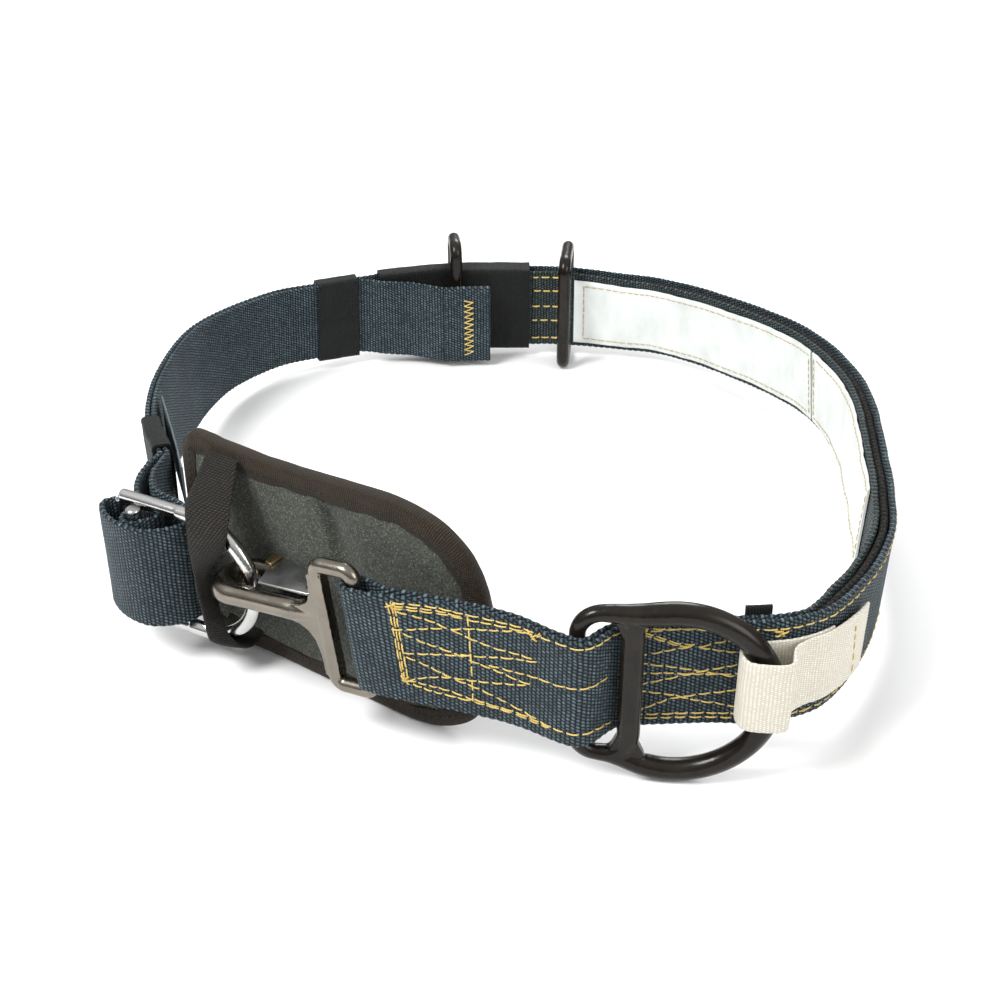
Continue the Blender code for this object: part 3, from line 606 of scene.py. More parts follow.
class Nodes:
    """Adds nodes to one tree; each call gives an output socket."""

    def __init__(self, tree):
        self.tree = tree

    def add(self, kind, inputs=None, output=0, **settings):
        made = self.tree.nodes.new(kind)
        for name, value in settings.items():
            setattr(made, name, value)
        fill(self.tree, made, inputs or {})
        return made.outputs[output]

    def math(self, operation, *values):
        return self.add("ShaderNodeMath", dict(enumerate(values)), operation=operation)

    def plus(self, first, second):
        return self.math("ADD", first, second)

    def minus(self, first, second):
        return self.math("SUBTRACT", first, second)

    def times(self, first, second):
        return self.math("MULTIPLY", first, second)

    def hump(self, value, power):
        """1 where the value is 0, falling to 0 where it is a half either way."""
        return self.minus(1.0, self.math("POWER", self.math("ABSOLUTE", self.times(value, 2.0)), power))

    def parts(self, vector):
        """The three parts of a vector."""
        made = self.tree.nodes.new("ShaderNodeSeparateXYZ")
        self.tree.links.new(vector, made.inputs[0])
        return made.outputs

    def remap(self, value, low, high, new_low=0.0, new_high=1.0):
        return self.add("ShaderNodeMapRange", {0: value, 1: low, 2: high, 3: new_low, 4: new_high})

    def noise(self, place, scale, detail=3.0, roughness=0.5):
        """Noise at one scale, or at a scale for each axis."""
        if isinstance(scale, tuple):
            place, scale = self.stretch(place, scale), 1.0
        inputs = {"Vector": place, "Scale": scale, "Detail": detail, "Roughness": roughness}
        return self.add("ShaderNodeTexNoise", inputs)

    def mix(self, share, first, second, blend="MIX"):
        def colour(value):
            return value if isinstance(value, bpy.types.NodeSocket) else (*value, 1.0)
        inputs = {0: share, 6: colour(first), 7: colour(second)}
        return self.add("ShaderNodeMix", inputs, 2, data_type="RGBA", blend_type=blend)

    def stretch(self, place, factors):
        return self.add("ShaderNodeVectorMath", {0: place, 1: factors}, operation="MULTIPLY")

    def use(self, group, inputs):
        """All the outputs of a shared group, by name."""
        made = self.tree.nodes.new("ShaderNodeGroup")
        made.node_tree = group
        fill(self.tree, made, inputs)
        return made.outputs


def shared(name, inputs, outputs, build):
    """A shader node group; build turns its input sockets into a dict of output sockets."""
    tree = bpy.data.node_groups.new(name, "ShaderNodeTree")
    for label, kind, value in inputs:
        socket = tree.interface.new_socket(label, in_out="INPUT", socket_type="NodeSocket" + kind)
        if value is not None:
            socket.default_value = value
    for label in outputs:
        tree.interface.new_socket(label, in_out="OUTPUT", socket_type="NodeSocketFloat")
    source, target = tree.nodes.new("NodeGroupInput"), tree.nodes.new("NodeGroupOutput")
    for label, socket in build(Nodes(tree), source.outputs).items():
        tree.links.new(socket, target.inputs[label])
    return tree


def build_weave(nodes, given):
    """Bumps of yarn stacked in ribs across the cloth, neighbouring ribs half a bump apart; Shade is painted
    light on them.
    """
    place = given["Place"]
    x, y, _ = nodes.parts(place)
    sway = nodes.times(nodes.minus(nodes.noise(place, 0.12, 2.0), 0.5), 0.8)
    u = nodes.math("DIVIDE", nodes.plus(x, sway), given["Rib"])
    column = nodes.math("FLOOR", u)
    across = nodes.minus(nodes.math("FRACT", u), 0.5)
    half_step = nodes.times(nodes.math("MODULO", column, 2.0), 0.5)
    shift = nodes.plus(half_step, nodes.times(across, given["Slant"]))
    v = nodes.plus(nodes.math("DIVIDE", nodes.plus(y, sway), given["Pick"]), shift)
    row = nodes.math("FLOOR", v)
    along = nodes.minus(nodes.math("FRACT", v), 0.5)
    round_yarn = nodes.times(nodes.hump(across, 2.2), nodes.hump(along, 2.0))
    bump = nodes.math("POWER", nodes.math("MAXIMUM", round_yarn, 0.0), 0.6)
    cell = nodes.add("ShaderNodeCombineXYZ", {0: column, 1: row, 2: 0.0})
    chance = nodes.add("ShaderNodeTexWhiteNoise", {"Vector": cell}, noise_dimensions="3D")
    fibre = nodes.noise(place, (2.2, 5.0, 2.0))
    raised = nodes.times(bump, nodes.remap(chance, 0.0, 1.0, 0.75, 1.0))
    lit = nodes.plus(nodes.times(chance, 0.6), nodes.times(fibre, 0.75))
    return {
        "Height": nodes.plus(raised, nodes.times(fibre, 0.35)),
        # Shade is painted light: a painted highlight on the bumps' tops and painted shade between them, times
        # each yarn's own random tone.
        "Shade": nodes.times(nodes.math("POWER", bump, 3.0), lit),
        "Yarn": chance,
    }


weave_group = shared(
    "ribbed weave",
    (("Place", "Vector", None), ("Rib", "Float", 1.6), ("Pick", "Float", 1.45), ("Slant", "Float", 0.35)),
    ("Height", "Shade", "Yarn"),
    build_weave,
)


def build_fibres(nodes, given):
    """Matted fibres: fine hair, flecks and soft patches."""
    patch = nodes.noise(given["Place"], 0.35)
    hair = nodes.noise(given["Place"], 2.6, 6.0, 0.7)
    fleck = nodes.add("ShaderNodeTexVoronoi", {"Vector": given["Place"], "Scale": 0.95}, feature="F1")
    return {
        "Height": nodes.plus(nodes.times(hair, 0.7), nodes.times(patch, 0.5)),
        "Fleck": nodes.times(nodes.remap(fleck, 0.55, 0.15), nodes.remap(hair, 0.46, 0.66)),
        "Patch": nodes.remap(patch, 0.35, 0.65),
        "Hair": nodes.remap(hair, 0.35, 0.7),
    }


PLACE_ONLY = (("Place", "Vector", None),)
fibre_group = shared("matted fibres", PLACE_ONLY, ("Height", "Fleck", "Patch", "Hair"), build_fibres)


def build_wear(nodes, given):
    """Handled metal: smudges, fine scratches and casting grain."""
    smudge = nodes.noise(given["Place"], 0.09, 4.0, 0.6)
    grain = nodes.noise(given["Place"], 1.4, 3.0, 0.6)
    streak = nodes.noise(given["Place"], (0.25, 3.5, 2.0), 2.0)
    scratch = nodes.remap(streak, 0.66, 0.72)
    return {"Smudge": nodes.remap(smudge, 0.35, 0.65), "Grain": grain, "Scratch": scratch}


wear_group = shared("metal wear", PLACE_ONLY, ("Smudge", "Grain", "Scratch"), build_wear)


def material(name):
    """A fresh material, its nodes and its Principled shader."""
    made = bpy.data.materials.new(name)
    made.use_nodes = True
    return made, Nodes(made.node_tree), made.node_tree.nodes["Principled BSDF"]


def wire(nodes, shader, **inputs):
    """Sets or links the shader's inputs; underscores stand for spaces."""
    fill(nodes.tree, shader, {name.replace("_", " "): value for name, value in inputs.items()})


def millimetres(nodes, kind="UV"):
    """Where a point is, in millimetres: on the cloth, or in the object's own axes."""
    if kind == "UV":
        return nodes.add("ShaderNodeUVMap", uv_map="cloth")
    place = nodes.add("ShaderNodeTexCoord", output=3)
    return nodes.stretch(place, (1000.0, 1000.0, 1000.0))


def bumped(nodes, height, distance):
    return nodes.add("ShaderNodeBump", {"Height": height, "Distance": distance * MM, "Strength": 1.0})


def woven(name, low, high, rib=1.6, pick=1.45, depth=0.7, rough=0.62):
    """Woven webbing or tape: painted shade between the yarns, painted highlights on the yarns' tops."""
    made, nodes, shader = material(name)
    place = millimetres(nodes)
    weave = nodes.use(weave_group, {"Place": place, "Rib": rib, "Pick": pick})
    cloud = nodes.noise(place, 0.05)
    lit = nodes.times(weave["Shade"], nodes.remap(cloud, 0.3, 0.7, 0.75, 1.15))
    # Painted light: low is the painted shade between the yarns and high the painted highlight on them; the
    # cloud only varies the tone.
    colour = nodes.mix(nodes.math("MINIMUM", lit, 1.0), low, high)
    wire(
        nodes, shader,
        Base_Color=colour,
        Roughness=nodes.remap(weave["Yarn"], 0.0, 1.0, rough - 0.12, rough + 0.08),
        Normal=bumped(nodes, weave["Height"], depth),
        Specular_IOR_Level=0.16,
        Sheen_Weight=0.04,
        Sheen_Roughness=0.5,
    )
    return made


def felted(name, low, high, bright):
    """Felt or a felted core: painted shade between its hairs, with bright flecks of its own."""
    made, nodes, shader = material(name)
    place = millimetres(nodes, "Object")
    fibres = nodes.use(fibre_group, {"Place": place})
    lit = nodes.times(fibres["Hair"], nodes.remap(fibres["Patch"], 0.0, 1.0, 0.7, 1.0))
    # Painted shade: darker where the hairs and their bump are low; the flecks and soft patches are the felt's
    # own tone.
    colour = nodes.mix(fibres["Fleck"], nodes.mix(lit, low, high), bright)
    wire(
        nodes, shader,
        Base_Color=colour,
        Roughness=0.95,
        Normal=bumped(nodes, fibres["Height"], 0.5),
        Specular_IOR_Level=0.1,
        Sheen_Weight=0.06,
        Sheen_Roughness=0.6,
    )
    return made


def steel(name, colour, worn, rough, grain, metallic=1.0, gloss=0.5):
    """Metal, plated or blackened, with its worn colour in scratches and smudges."""
    made, nodes, shader = material(name)
    wear = nodes.use(wear_group, {"Place": millimetres(nodes, "Object")})
    worn_share = nodes.math("MAXIMUM", nodes.times(wear["Scratch"], 0.35), nodes.times(wear["Smudge"], 0.3))
    wire(
        nodes, shader,
        Base_Color=nodes.mix(worn_share, colour, worn),
        Metallic=metallic,
        Roughness=nodes.remap(wear["Smudge"], 0.0, 1.0, rough * 0.8, rough * 1.35),
        Normal=bumped(nodes, wear["Grain"], grain),
        Specular_IOR_Level=gloss,
    )
    return made


def vinyl(name, colour, shadow, bump):
    """Coated sheet, a little creased, with shadow in its creases."""
    made, nodes, shader = material(name)
    place = millimetres(nodes)
    crease = nodes.noise(place, (0.08, 0.04, 0.05), 3.0, 0.55)
    grain = nodes.noise(place, 1.6, 2.0)
    wire(
        nodes, shader,
        Base_Color=nodes.mix(nodes.remap(crease, 0.35, 0.7), shadow, colour),
        Roughness=nodes.remap(crease, 0.3, 0.7, 0.35, 0.5),
        Normal=bumped(nodes, nodes.plus(crease, nodes.times(grain, 0.02)), bump),
    )
    return made


def threaded(name, dark, light):
    """Twisted sewing thread, with painted shade in the grooves of its twist; "twist" holds each stitch's own
    axes.
    """
    made, nodes, shader = material(name)
    x, y, _ = nodes.parts(nodes.add("ShaderNodeAttribute", output=1, attribute_name="twist"))
    turn = nodes.plus(nodes.times(x, 26.0), nodes.times(y, 5.0))
    ply = nodes.remap(nodes.math("SINE", turn), -1.0, 1.0)
    tone = nodes.noise(millimetres(nodes, "Object"), 0.4, 2.0)
    # Painted shade: the ply stripes follow the twist's bump, dark in its grooves and lit on its ridges.
    wire(
        nodes, shader,
        Base_Color=nodes.mix(nodes.times(ply, nodes.remap(tone, 0.3, 0.7, 0.6, 1.0)), dark, light),
        Roughness=0.55,
        Normal=bumped(nodes, ply, 0.15),
        Sheen_Weight=0.03,
    )
    return made


# Each woven finish's first colour is painted shade between the yarns and its second a painted highlight on
# their tops.
WEB = woven("webbing", (0.0016, 0.0042, 0.0058), (0.140, 0.205, 0.240))
LINING = woven("lining webbing", (0.0018, 0.0042, 0.0046), (0.125, 0.170, 0.172))
SLEEVE = woven("sleeve tape", (0.0018, 0.0022, 0.002), (0.028, 0.032, 0.030), rib=1.0, pick=0.8, depth=0.3)
STRAP = woven("pad strap tape", (0.003, 0.0025, 0.002), (0.050, 0.043, 0.035), rib=1.0, pick=0.9, depth=0.3)
BINDING = woven("binding tape", (0.0055, 0.0036, 0.002), (0.085, 0.060, 0.036), rib=1.0, pick=0.7, depth=0.35)
TAPE = woven("cream tape", (0.52, 0.49, 0.41), (0.90, 0.87, 0.78), rib=1.3, pick=0.9, depth=0.15, rough=0.7)
# Each felted finish's first colour is painted shade between the hairs, its second the lit hairs and its third
# its own flecks.
CORE = felted("core", (0.0015, 0.0015, 0.0015), (0.012, 0.011, 0.010), (0.10, 0.09, 0.08))
FELT = felted("felt", (0.007, 0.008, 0.006), (0.130, 0.138, 0.118), (0.26, 0.27, 0.23))
LABEL = vinyl("label vinyl", (0.76, 0.79, 0.77), (0.62, 0.65, 0.63), 0.36)
CARD_FACE = vinyl("card face", (0.10, 0.13, 0.135), (0.06, 0.08, 0.085), 0.3)
# Each thread's first colour is painted shade in the grooves of its twist and its second the ply's lit tone.
THREAD = threaded("yellow thread", (0.50, 0.33, 0.07), (0.88, 0.68, 0.23))
PALE_THREAD = threaded("pale thread", (0.40, 0.31, 0.15), (0.72, 0.60, 0.36))
DARK_THREAD = threaded("dark thread", (0.0015, 0.0015, 0.0015), (0.008, 0.008, 0.0075))
SATIN = steel("satin steel", (0.225, 0.202, 0.168), (0.115, 0.102, 0.083), 0.22, 0.025)
BRIGHT = steel("bright steel", (0.56, 0.56, 0.55), (0.33, 0.33, 0.32), 0.15, 0.03)
PLATED = steel("plated gate", (0.40, 0.41, 0.41), (0.25, 0.25, 0.245), 0.30, 0.02)
DARK = steel("dark steel", (0.0065, 0.0050, 0.0036), (0.028, 0.022, 0.016), 0.20, 0.03, 0.0, 0.24)
BRASS = steel("brass catch", (0.46, 0.33, 0.17), (0.28, 0.20, 0.10), 0.28, 0.02)


# Stitches

def stitch_nodes():
    """Bowed lengths of thread on points that say where each lies and how big it is."""
    tree = bpy.data.node_groups.new("stitches on points", "GeometryNodeTree")
    tree.interface.new_socket("Points", in_out="INPUT", socket_type="NodeSocketGeometry")
    sides = tree.interface.new_socket("Sides", in_out="INPUT", socket_type="NodeSocketInt")
    sides.default_value = 8
    tree.interface.new_socket("Finish", in_out="INPUT", socket_type="NodeSocketMaterial")
    tree.interface.new_socket("Stitches", in_out="OUTPUT", socket_type="NodeSocketGeometry")
    nodes = Nodes(tree)
    given = tree.nodes.new("NodeGroupInput").outputs

    def held(name):
        return nodes.add("GeometryNodeInputNamedAttribute", {"Name": name}, data_type="FLOAT_VECTOR")

    line = nodes.add("GeometryNodeCurvePrimitiveLine", {"Start": (-0.5, 0.0, 0.0), "End": (0.5, 0.0, 0.0)})
    steps = nodes.add("GeometryNodeResampleCurve", {"Curve": line, "Count": 8})
    ring = nodes.add("GeometryNodeCurvePrimitiveCircle", {"Resolution": given["Sides"], "Radius": 0.5})
    straight = nodes.add("GeometryNodeCurveToMesh", {"Curve": steps, "Profile Curve": ring, "Fill Caps": True})
    x, _, _ = nodes.parts(nodes.add("GeometryNodeInputPosition"))
    rise = nodes.minus(0.3, nodes.times(nodes.times(x, x), 3.6))
    lift = nodes.add("ShaderNodeCombineXYZ", {0: 0.0, 1: 0.0, 2: rise})
    bowed = nodes.add("GeometryNodeSetPosition", {"Geometry": straight, "Offset": lift})
    twist = {"Geometry": bowed, "Name": "twist", "Value": nodes.add("GeometryNodeInputPosition")}
    marked = nodes.add("GeometryNodeStoreNamedAttribute", twist, data_type="FLOAT_VECTOR")
    cloud = nodes.add("GeometryNodeMeshToPoints", {"Mesh": given["Points"]})
    axes = {0: held("along"), 1: held("out")}
    turn = nodes.add("FunctionNodeAxesToRotation", axes, primary_axis="X", secondary_axis="Z")
    each = {"Points": cloud, "Instance": marked, "Rotation": turn, "Scale": held("size")}
    laid = nodes.add("GeometryNodeInstanceOnPoints", each)
    real = nodes.add("GeometryNodeRealizeInstances", {"Geometry": laid})
    coloured = nodes.add("GeometryNodeSetMaterial", {"Geometry": real, "Material": given["Finish"]})
    tree.links.new(coloured, tree.nodes.new("NodeGroupOutput").inputs[0])
    return tree


STITCH_NODES = stitch_nodes()


def sewn(name, stitches, finish):
    """One piece of all these stitches: each is its middle, along, out and size, in millimetres."""
    mesh = bpy.data.meshes.new(name)
    places = [(np.asarray(place) - CENTRE) * MM for place, _, _, _ in stitches]
    mesh.from_pydata([tuple(place) for place in places], [], [])
    for label, column, scale in (("along", 1, 1.0), ("out", 2, 1.0), ("size", 3, MM)):
        values = np.array([stitch[column] for stitch in stitches], np.float32) * scale
        mesh.attributes.new(label, "FLOAT_VECTOR", "POINT").data.foreach_set("vector", values.ravel())
    mesh.materials.append(finish)
    piece = bpy.data.objects.new(name, mesh)
    bpy.context.scene.collection.objects.link(piece)
    step = piece.modifiers.new("stitches", "NODES")
    step.node_group = STITCH_NODES
    for socket in STITCH_NODES.interface.items_tree:
        if socket.in_out == "INPUT" and socket.name == "Finish":
            step[socket.identifier] = finish
    baked(piece)
    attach(piece, "belt")
    return piece


def dashes(line, length=4.1, gap=0.9, seed=1, width=0.6, height=0.5, wander=0.06):
    """Stitches along a line of points: each is its start, end, width and height, slightly uneven."""
    rng = np.random.default_rng(seed)
    line = np.asarray(line, float)
    run = run_along(line)
    made, here = [], 0.0
    while here < run[-1] - 0.6 * length:
        stop = min(here + length * rng.uniform(0.85, 1.12), run[-1])
        ends = [np.array([np.interp(t, run, column) for column in line.T]) for t in (here, stop)]
        ends = [end + rng.normal(0, wander, len(end)) * 0.4 for end in ends]
        made.append((ends[0], ends[1], width * rng.uniform(0.88, 1.12), height * rng.uniform(0.85, 1.15)))
        here = stop + gap * rng.uniform(0.5, 1.6)
    return made


def on_cloth(piece, ends, lift, out=None):
    """A stitch on the surface of a finished piece, from two points near it and the cloth's outward way."""
    start, stop, width, height = ends
    place = (start + stop) / 2
    found, nearest, normal, _ = piece.closest_point_on_mesh((place - CENTRE) * MM)
    out = np.array(normal) if out is None else out
    along = unit(stop - start)
    along = unit(along - out * (along @ out))
    middle = np.array(nearest) / MM + CENTRE + lift * out
    return middle, along, out, (np.linalg.norm(stop - start), width, height)


def front_spot(distance, height, offset):
    """A place on the webbing, which leans with the hook's bar near it."""
    lean = 1 - clear_of_hook(distance)
    point, up, outward = waist.at(distance + LEAN_SHIFT * lean)
    rise = unit(up[0] + lean * (hook_axis - up[0]))
    return point[0] + height * rise + offset * outward[0]


def belt_stitches(piece, lines, offset=0.0, **shape):
    """Stitches along lines of (distance, height) rows, on the outer face or at another offset."""
    made = []
    for index, line in enumerate(lines):
        for start, stop, width, height in dashes(line, seed=31 * index + 7, **shape):
            ends = [front_spot(*end, offset) for end in (start, stop)]
            outward = waist.at((start[0] + stop[0]) / 2)[2][0] * (1 if offset >= 0 else -1)
            made.append(on_cloth(piece, (*ends, width, height), 0.16, outward))
    return made


# Webbing

hook_matrix = np.array(Euler([math.radians(angle) for angle in HOOK_TURN]).to_matrix())
hook_bar = np.array(HOOK_PLACE) + hook_matrix @ [-HOOK_BARS_APART, 0.0, 0.0]
hook_axis = hook_matrix[:, 2]


def front_path():
    """The main webbing: from behind the D-ring to the hook's bar, round it and on to the back sleeve."""
    inner = span(waist.mark["ring right"] - 3, 12)
    outer = span(9, waist.mark["ring one"] - 5)
    rows = []
    for run, offset in ((inner, INNER_PLY), (outer, OUTER_PLY)):
        lean = 1 - clear_of_hook(run)
        squeeze = 3.0 * lean**2 if offset == INNER_PLY else 0.0
        foot, up = waist.edge(run, offset - squeeze)
        rows.append((foot, unit(up + lean[:, None] * (hook_axis - up))))
    _, _, outward = waist.at(0.0)
    out = unit(outward[0] - hook_axis * (outward[0] @ hook_axis))
    left = np.cross(out, hook_axis)
    foot = hook_bar + hook_axis * (WAIST[0][3] - hook_bar[2]) / hook_axis[2]
    turn = np.radians(np.linspace(-100, 80, 11))[:, None]
    bend = foot + (HOOK_BAR_RADIUS + GAP + WEB_THICK / 2) * (np.sin(turn) * out + np.cos(turn) * left)
    lower = np.vstack([rows[0][0], bend, rows[1][0]])
    return lower, np.vstack([rows[0][1], np.tile(hook_axis, (len(bend), 1)), rows[1][1]])


def buckle_path():
    """The adjusting webbing: from the sleeve to the buckle, through it twice, and its tail back again."""
    low_run, up_run = waist.edge(span(waist.mark["ring one"] + 5, waist.mark["buckle run"]), OUTER_PLY)
    tail = span(waist.mark["buckle run"], waist.mark["ring one"] + TAIL_STOP)
    distance, offset, drop = np.array(TAIL_PATH).T
    low_tail, up_tail = waist.edge(tail, np.interp(tail, distance, offset))
    low_tail = low_tail + np.interp(tail, distance, drop)[:, None] * up_tail
    turn = math.radians(BUCKLE_TURN[2])
    along, back = np.array([math.cos(turn), math.sin(turn)]), np.array([-math.sin(turn), math.cos(turn)])
    plan = spline(np.array([np.array(BUCKLE_PLACE[:2]) + s * along - d * back for s, d in THREADING]), 2.0, 3)
    height = np.interp(np.linspace(0, 1, len(plan)), [0, 0.12, 0.9, 1], [18.6, TAIL_LOW, TAIL_LOW, 18.4])
    lower = np.vstack([low_run, np.column_stack([plan, height]), low_tail])
    return lower, np.vstack([up_run, np.tile(UP, (len(plan), 1)), up_tail])


front = waist.mark["ring right"]
main = strip("main-webbing", *front_path(), WEB, seed=4)
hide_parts("main_webbing")
adjusting = strip("adjusting-webbing", *buckle_path(), WEB, seed=9, wave=0.18)
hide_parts("adjusting_webbing")

back_end = waist.mark["sleeve right"] + 12
lining_run = span(front - 2, back_end)
lining_offset = np.interp(lining_run - front, [-2, 3, 10, 25], [-3.8, -3.8, -5.4, LINING_PLY])
lining = strip("right-lining", *waist.edge(lining_run, lining_offset), LINING, seed=5)
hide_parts("right_lining")

core_run = span(front + 9, back_end)
core_offset = -WEB_THICK - GAP - np.interp(core_run - front, [9, 25], [1.2, CORE_THICK]) / 2
core_edge = waist.edge(core_run, core_offset)
core = strip("right-core", *core_edge, CORE, WEB_WIDTH - 1.5, 3.2, wave=0.1, scallop=0.3)
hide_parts("right_core")

seam = waist.mark["label seam"]
smooth = {"scallop": 0.0, "ribbing": 0.0}
labels = []
for name, start, stop in (
    ("label-front", waist.mark["label front"], seam - 1),
    ("label-back", seam + 1, waist.mark["ring two"] - 5),
):
    edge = waist.edge(span(start, stop), LABEL_PLY, LABEL_MARGIN)
    width = WEB_WIDTH - 2 * LABEL_MARGIN
    label = strip(name, *edge, LABEL, width, LABEL_THICK, 12, step=2.0, wave=0.55, **smooth)
    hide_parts(name.replace("-", "_"))
    labels.append(label)

ring_place = waist.mark["ring one"]
tab_edge = waist.edge(span(ring_place + 8, ring_place - 19), TAB_OFFSET, TAB_DROP)
tab = strip("tail-tab", *tab_edge, WEB, WEB_WIDTH, 2 * WEB_THICK + GAP, seed=6, wave=0.2)
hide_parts("tail_tab")


# Sleeve and keepers

# Columns: piece, start, stop, sides of the space, its low and high, and the height of a pressed line
TUBES = (
    ("sleeve-right", waist.mark["sleeve right"], ring_place - 0.8, (0.3, -9.8), -0.5, 45.2, None),
    ("sleeve-left", ring_place + 0.8, waist.mark["sleeve left"] + 6.5, (0.3, -6.3), -0.5, 45.2, None),
    ("keeper-back", waist.mark["keeper start"] + 5, waist.mark["keeper end"], (0.3, -5.5), -0.5, 45.0, 24.0),
    ("keeper-left", waist.mark["band start"], waist.mark["buckle run"] - 3, (0.5, -5.4), -0.6, 45.3, None),
)


for index, (name, start, stop, offsets, low, high, crease) in enumerate(TUBES):
    tube = belt_tube(name, start, stop, offsets, low, high, SLEEVE, 20 + index, crease)
    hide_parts(name.replace("-", "_"))


# Back rings

# Columns: piece, its place on the belt, the height of its foot, and how far it reaches across the belt
BACK_RINGS = (("ring-back-right", "ring two", -0.16, 30.0), ("ring-back-left", "ring one", 5.0, 18.5))

for name, mark, low, depth in BACK_RINGS:
    point, _, outward = waist.at(waist.mark[mark])
    out = unit(outward[0] * [1, 1, 0])
    outline = round_box(-depth, 0.0, BACK_HALF_HEIGHT, BACK_CORNER, 10)
    outline, _ = spaced(np.vstack([outline, outline[:1]]), 1.5, 2)
    centre = point[0] + out * BACK_OFF
    path = [[*(centre[:2] + x * out[:2]), low + BACK_ROD + BACK_HALF_HEIGHT + z] for x, z in outline[:-1]]
    points, faces = rod(path, BACK_ROD, np.cross(out, UP), 24, closed=True)
    ring = mesh_piece(name, points, faces, DARK)
    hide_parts(name.replace("-", "_"))


# Snap hook: its left bar is its own Z axis, and its shank runs towards +X.

# The flat bar at the foot of the shank and its fillets, and half its thickness: columns are x and z.
HOOK_WEB_HALF = 2.4
HOOK_WEB = (
    (-2.7, 22.0),
    (-2.7, -22.0),
    (2.7, -22.0),
    (3.0, -12.0),
    (4.2, -6.5),
    (6.2, -3.0),
    (9.5, -0.8),
    (14.0, 0.2),
    (14.0, 6.8),
    (7.5, 7.7),
    (4.6, 9.5),
    (3.0, 14.0),
    (2.7, 22.0),
)
# The gate's two sides and the back that joins them: columns are x and y.
GATE_FLANGE = (
    (32.0, -3.0), (36.0, -20.5), (30.0, -20.0), (17.0, -15.5), (7.5, -10.5), (6.5, -4.5), (9.0, -2.8)
)
GATE_WEB = ((30.5, -20.1), (17.0, -15.5), (10.5, -12.1), (11.0, -11.0), (17.6, -14.3), (30.9, -18.9))
CATCH = ((32.6, -20.0), (37.4, -20.4), (37.0, -14.2), (33.6, -13.4))
PIN_RADIUS = 1.5
LUG = 3.6


def disc(radius, centre):
    return arc(centre, radius, 0, 360, 32)[:-1]


frame_path = np.insert(round_box(-HOOK_BARS_APART, 0.0, HOOK_HALF_HEIGHT, HOOK_CORNER), 1, 0.0, axis=1)
nose = arc((NOSE_X, -NOSE_RADIUS), NOSE_RADIUS, 90, -90, 24)
shank_line = np.vstack([[[-1, 0], [NOSE_X / 2, 0]], nose, [[TIP_X, -2 * NOSE_RADIUS]]])
shank_line, shank_run = spaced(shank_line, 1.2, 2)
swell = 1.0 + 0.16 * np.exp(-(((shank_run - 52.0) / 9.0) ** 2))
shank_path = np.insert(shank_line, 2, SHANK_HEIGHT, axis=1)
near_foot = np.where(shank_run < NOSE_X, shank_line[:, 0], NOSE_X)
flatness = np.interp(near_foot, [0.0, 3.0, 15.0], [0.5, 0.58, 1.0])
shank_rod = np.stack([HOOK_ROD * swell * flatness, HOOK_ROD * swell * (0.35 + 0.65 * flatness)], 1)
hook_shapes = [
    rod(frame_path, HOOK_BAR_RADIUS + 0.2, (0, 1, 0), 24, closed=True),
    rod(shank_path, shank_rod, (0, 0, 1), 28),
    plate(np.array(HOOK_WEB) * [1.2, 1.0], -HOOK_WEB_HALF, HOOK_WEB_HALF, 1),
    plate(disc(LUG, HINGE), SHANK_HEIGHT - LUG, SHANK_HEIGHT + LUG, 2),
]
hook = cast("hook-body", hook_shapes, HOOK_PLACE, HOOK_TURN, SATIN)
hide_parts("hook_body")

top, bottom = SHANK_HEIGHT + GATE_HALF, SHANK_HEIGHT - GATE_HALF
gate_shapes = [
    plate(np.array(GATE_FLANGE), top - GATE_SHEET, top, 2),
    plate(np.array(GATE_FLANGE), bottom, bottom + GATE_SHEET, 2),
    plate(np.array(GATE_WEB), bottom + 0.2, top - 0.2, 2),
]
gate = pressed("hook-gate", gate_shapes, HOOK_PLACE, HOOK_TURN, PLATED, 0.35, "gate")
catch_shape = plate(np.array(CATCH), top + 0.05, top + 1.2, 2)
pressed("gate-catch", [catch_shape], HOOK_PLACE, HOOK_TURN, BRASS, 0.4, "gate")
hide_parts("hook_gate")

reach = GATE_HALF + 0.6
pin_shape = plate(disc(PIN_RADIUS, HINGE), SHANK_HEIGHT - reach, SHANK_HEIGHT + reach, 2)
pin = pressed("gate-pin", [pin_shape], HOOK_PLACE, HOOK_TURN, SATIN, 0.3)
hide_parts("gate_pin")


# D-ring: its centre bar is its own Z axis, and its eye lies towards +X.

top_rail, low_rail = SLOT_RISE + SLOT_HALF_HEIGHT, SLOT_RISE - SLOT_HALF_HEIGHT
eye = np.vstack([
    [(-9.5, top_rail), (-6.0, top_rail), (-1.0, top_rail - 0.1), (4.0, top_rail)],
    arc((EYE_X, 0.0), EYE_RADIUS, 98, -98, 60),
    [(5.0, low_rail - 4.4), (-0.5, low_rail - 2.2), (-5.5, low_rail - 0.5), (-9.5, low_rail)],
])
eye, _ = spaced(eye, 1.5, 2)
eye_rod = np.interp(eye[:, 0], [-9.0, 9.0], [END_ROD, EYE_ROD - 0.35])[:, None]
ring_frame = round_box(END_BAR_X, 2.0, SLOT_HALF_HEIGHT, SLOT_CORNER, 10) + [0.0, SLOT_RISE]
ring_shapes = [
    rod(np.insert(eye, 1, 0.0, axis=1), eye_rod, (0, 1, 0), 32),
    rod([(0, 0, low_rail), (0, 0, top_rail)], (3.4, 3.0), (0, 1, 0), 24),
    rod(np.insert(ring_frame, 1, 0.0, axis=1), (END_ROD - 0.2, END_ROD), (0, 1, 0), 24, closed=True),
]
for side, rail in ((1, top_rail), (-1, low_rail)):
    web = [(-8.0, rail), (7.0, rail), (4.9, rail - 4.4 * side), (3.2, rail - 8.5 * side)]
    web += [(-3.2, rail - 8.5 * side), (-4.9, rail - 4.4 * side)]
    ring_shapes.append(plate(np.array(web), -2.2, 2.2, 1))
d_ring = cast("D-ring", ring_shapes, RING_PLACE, RING_TURN, DARK, 0.5, 8)
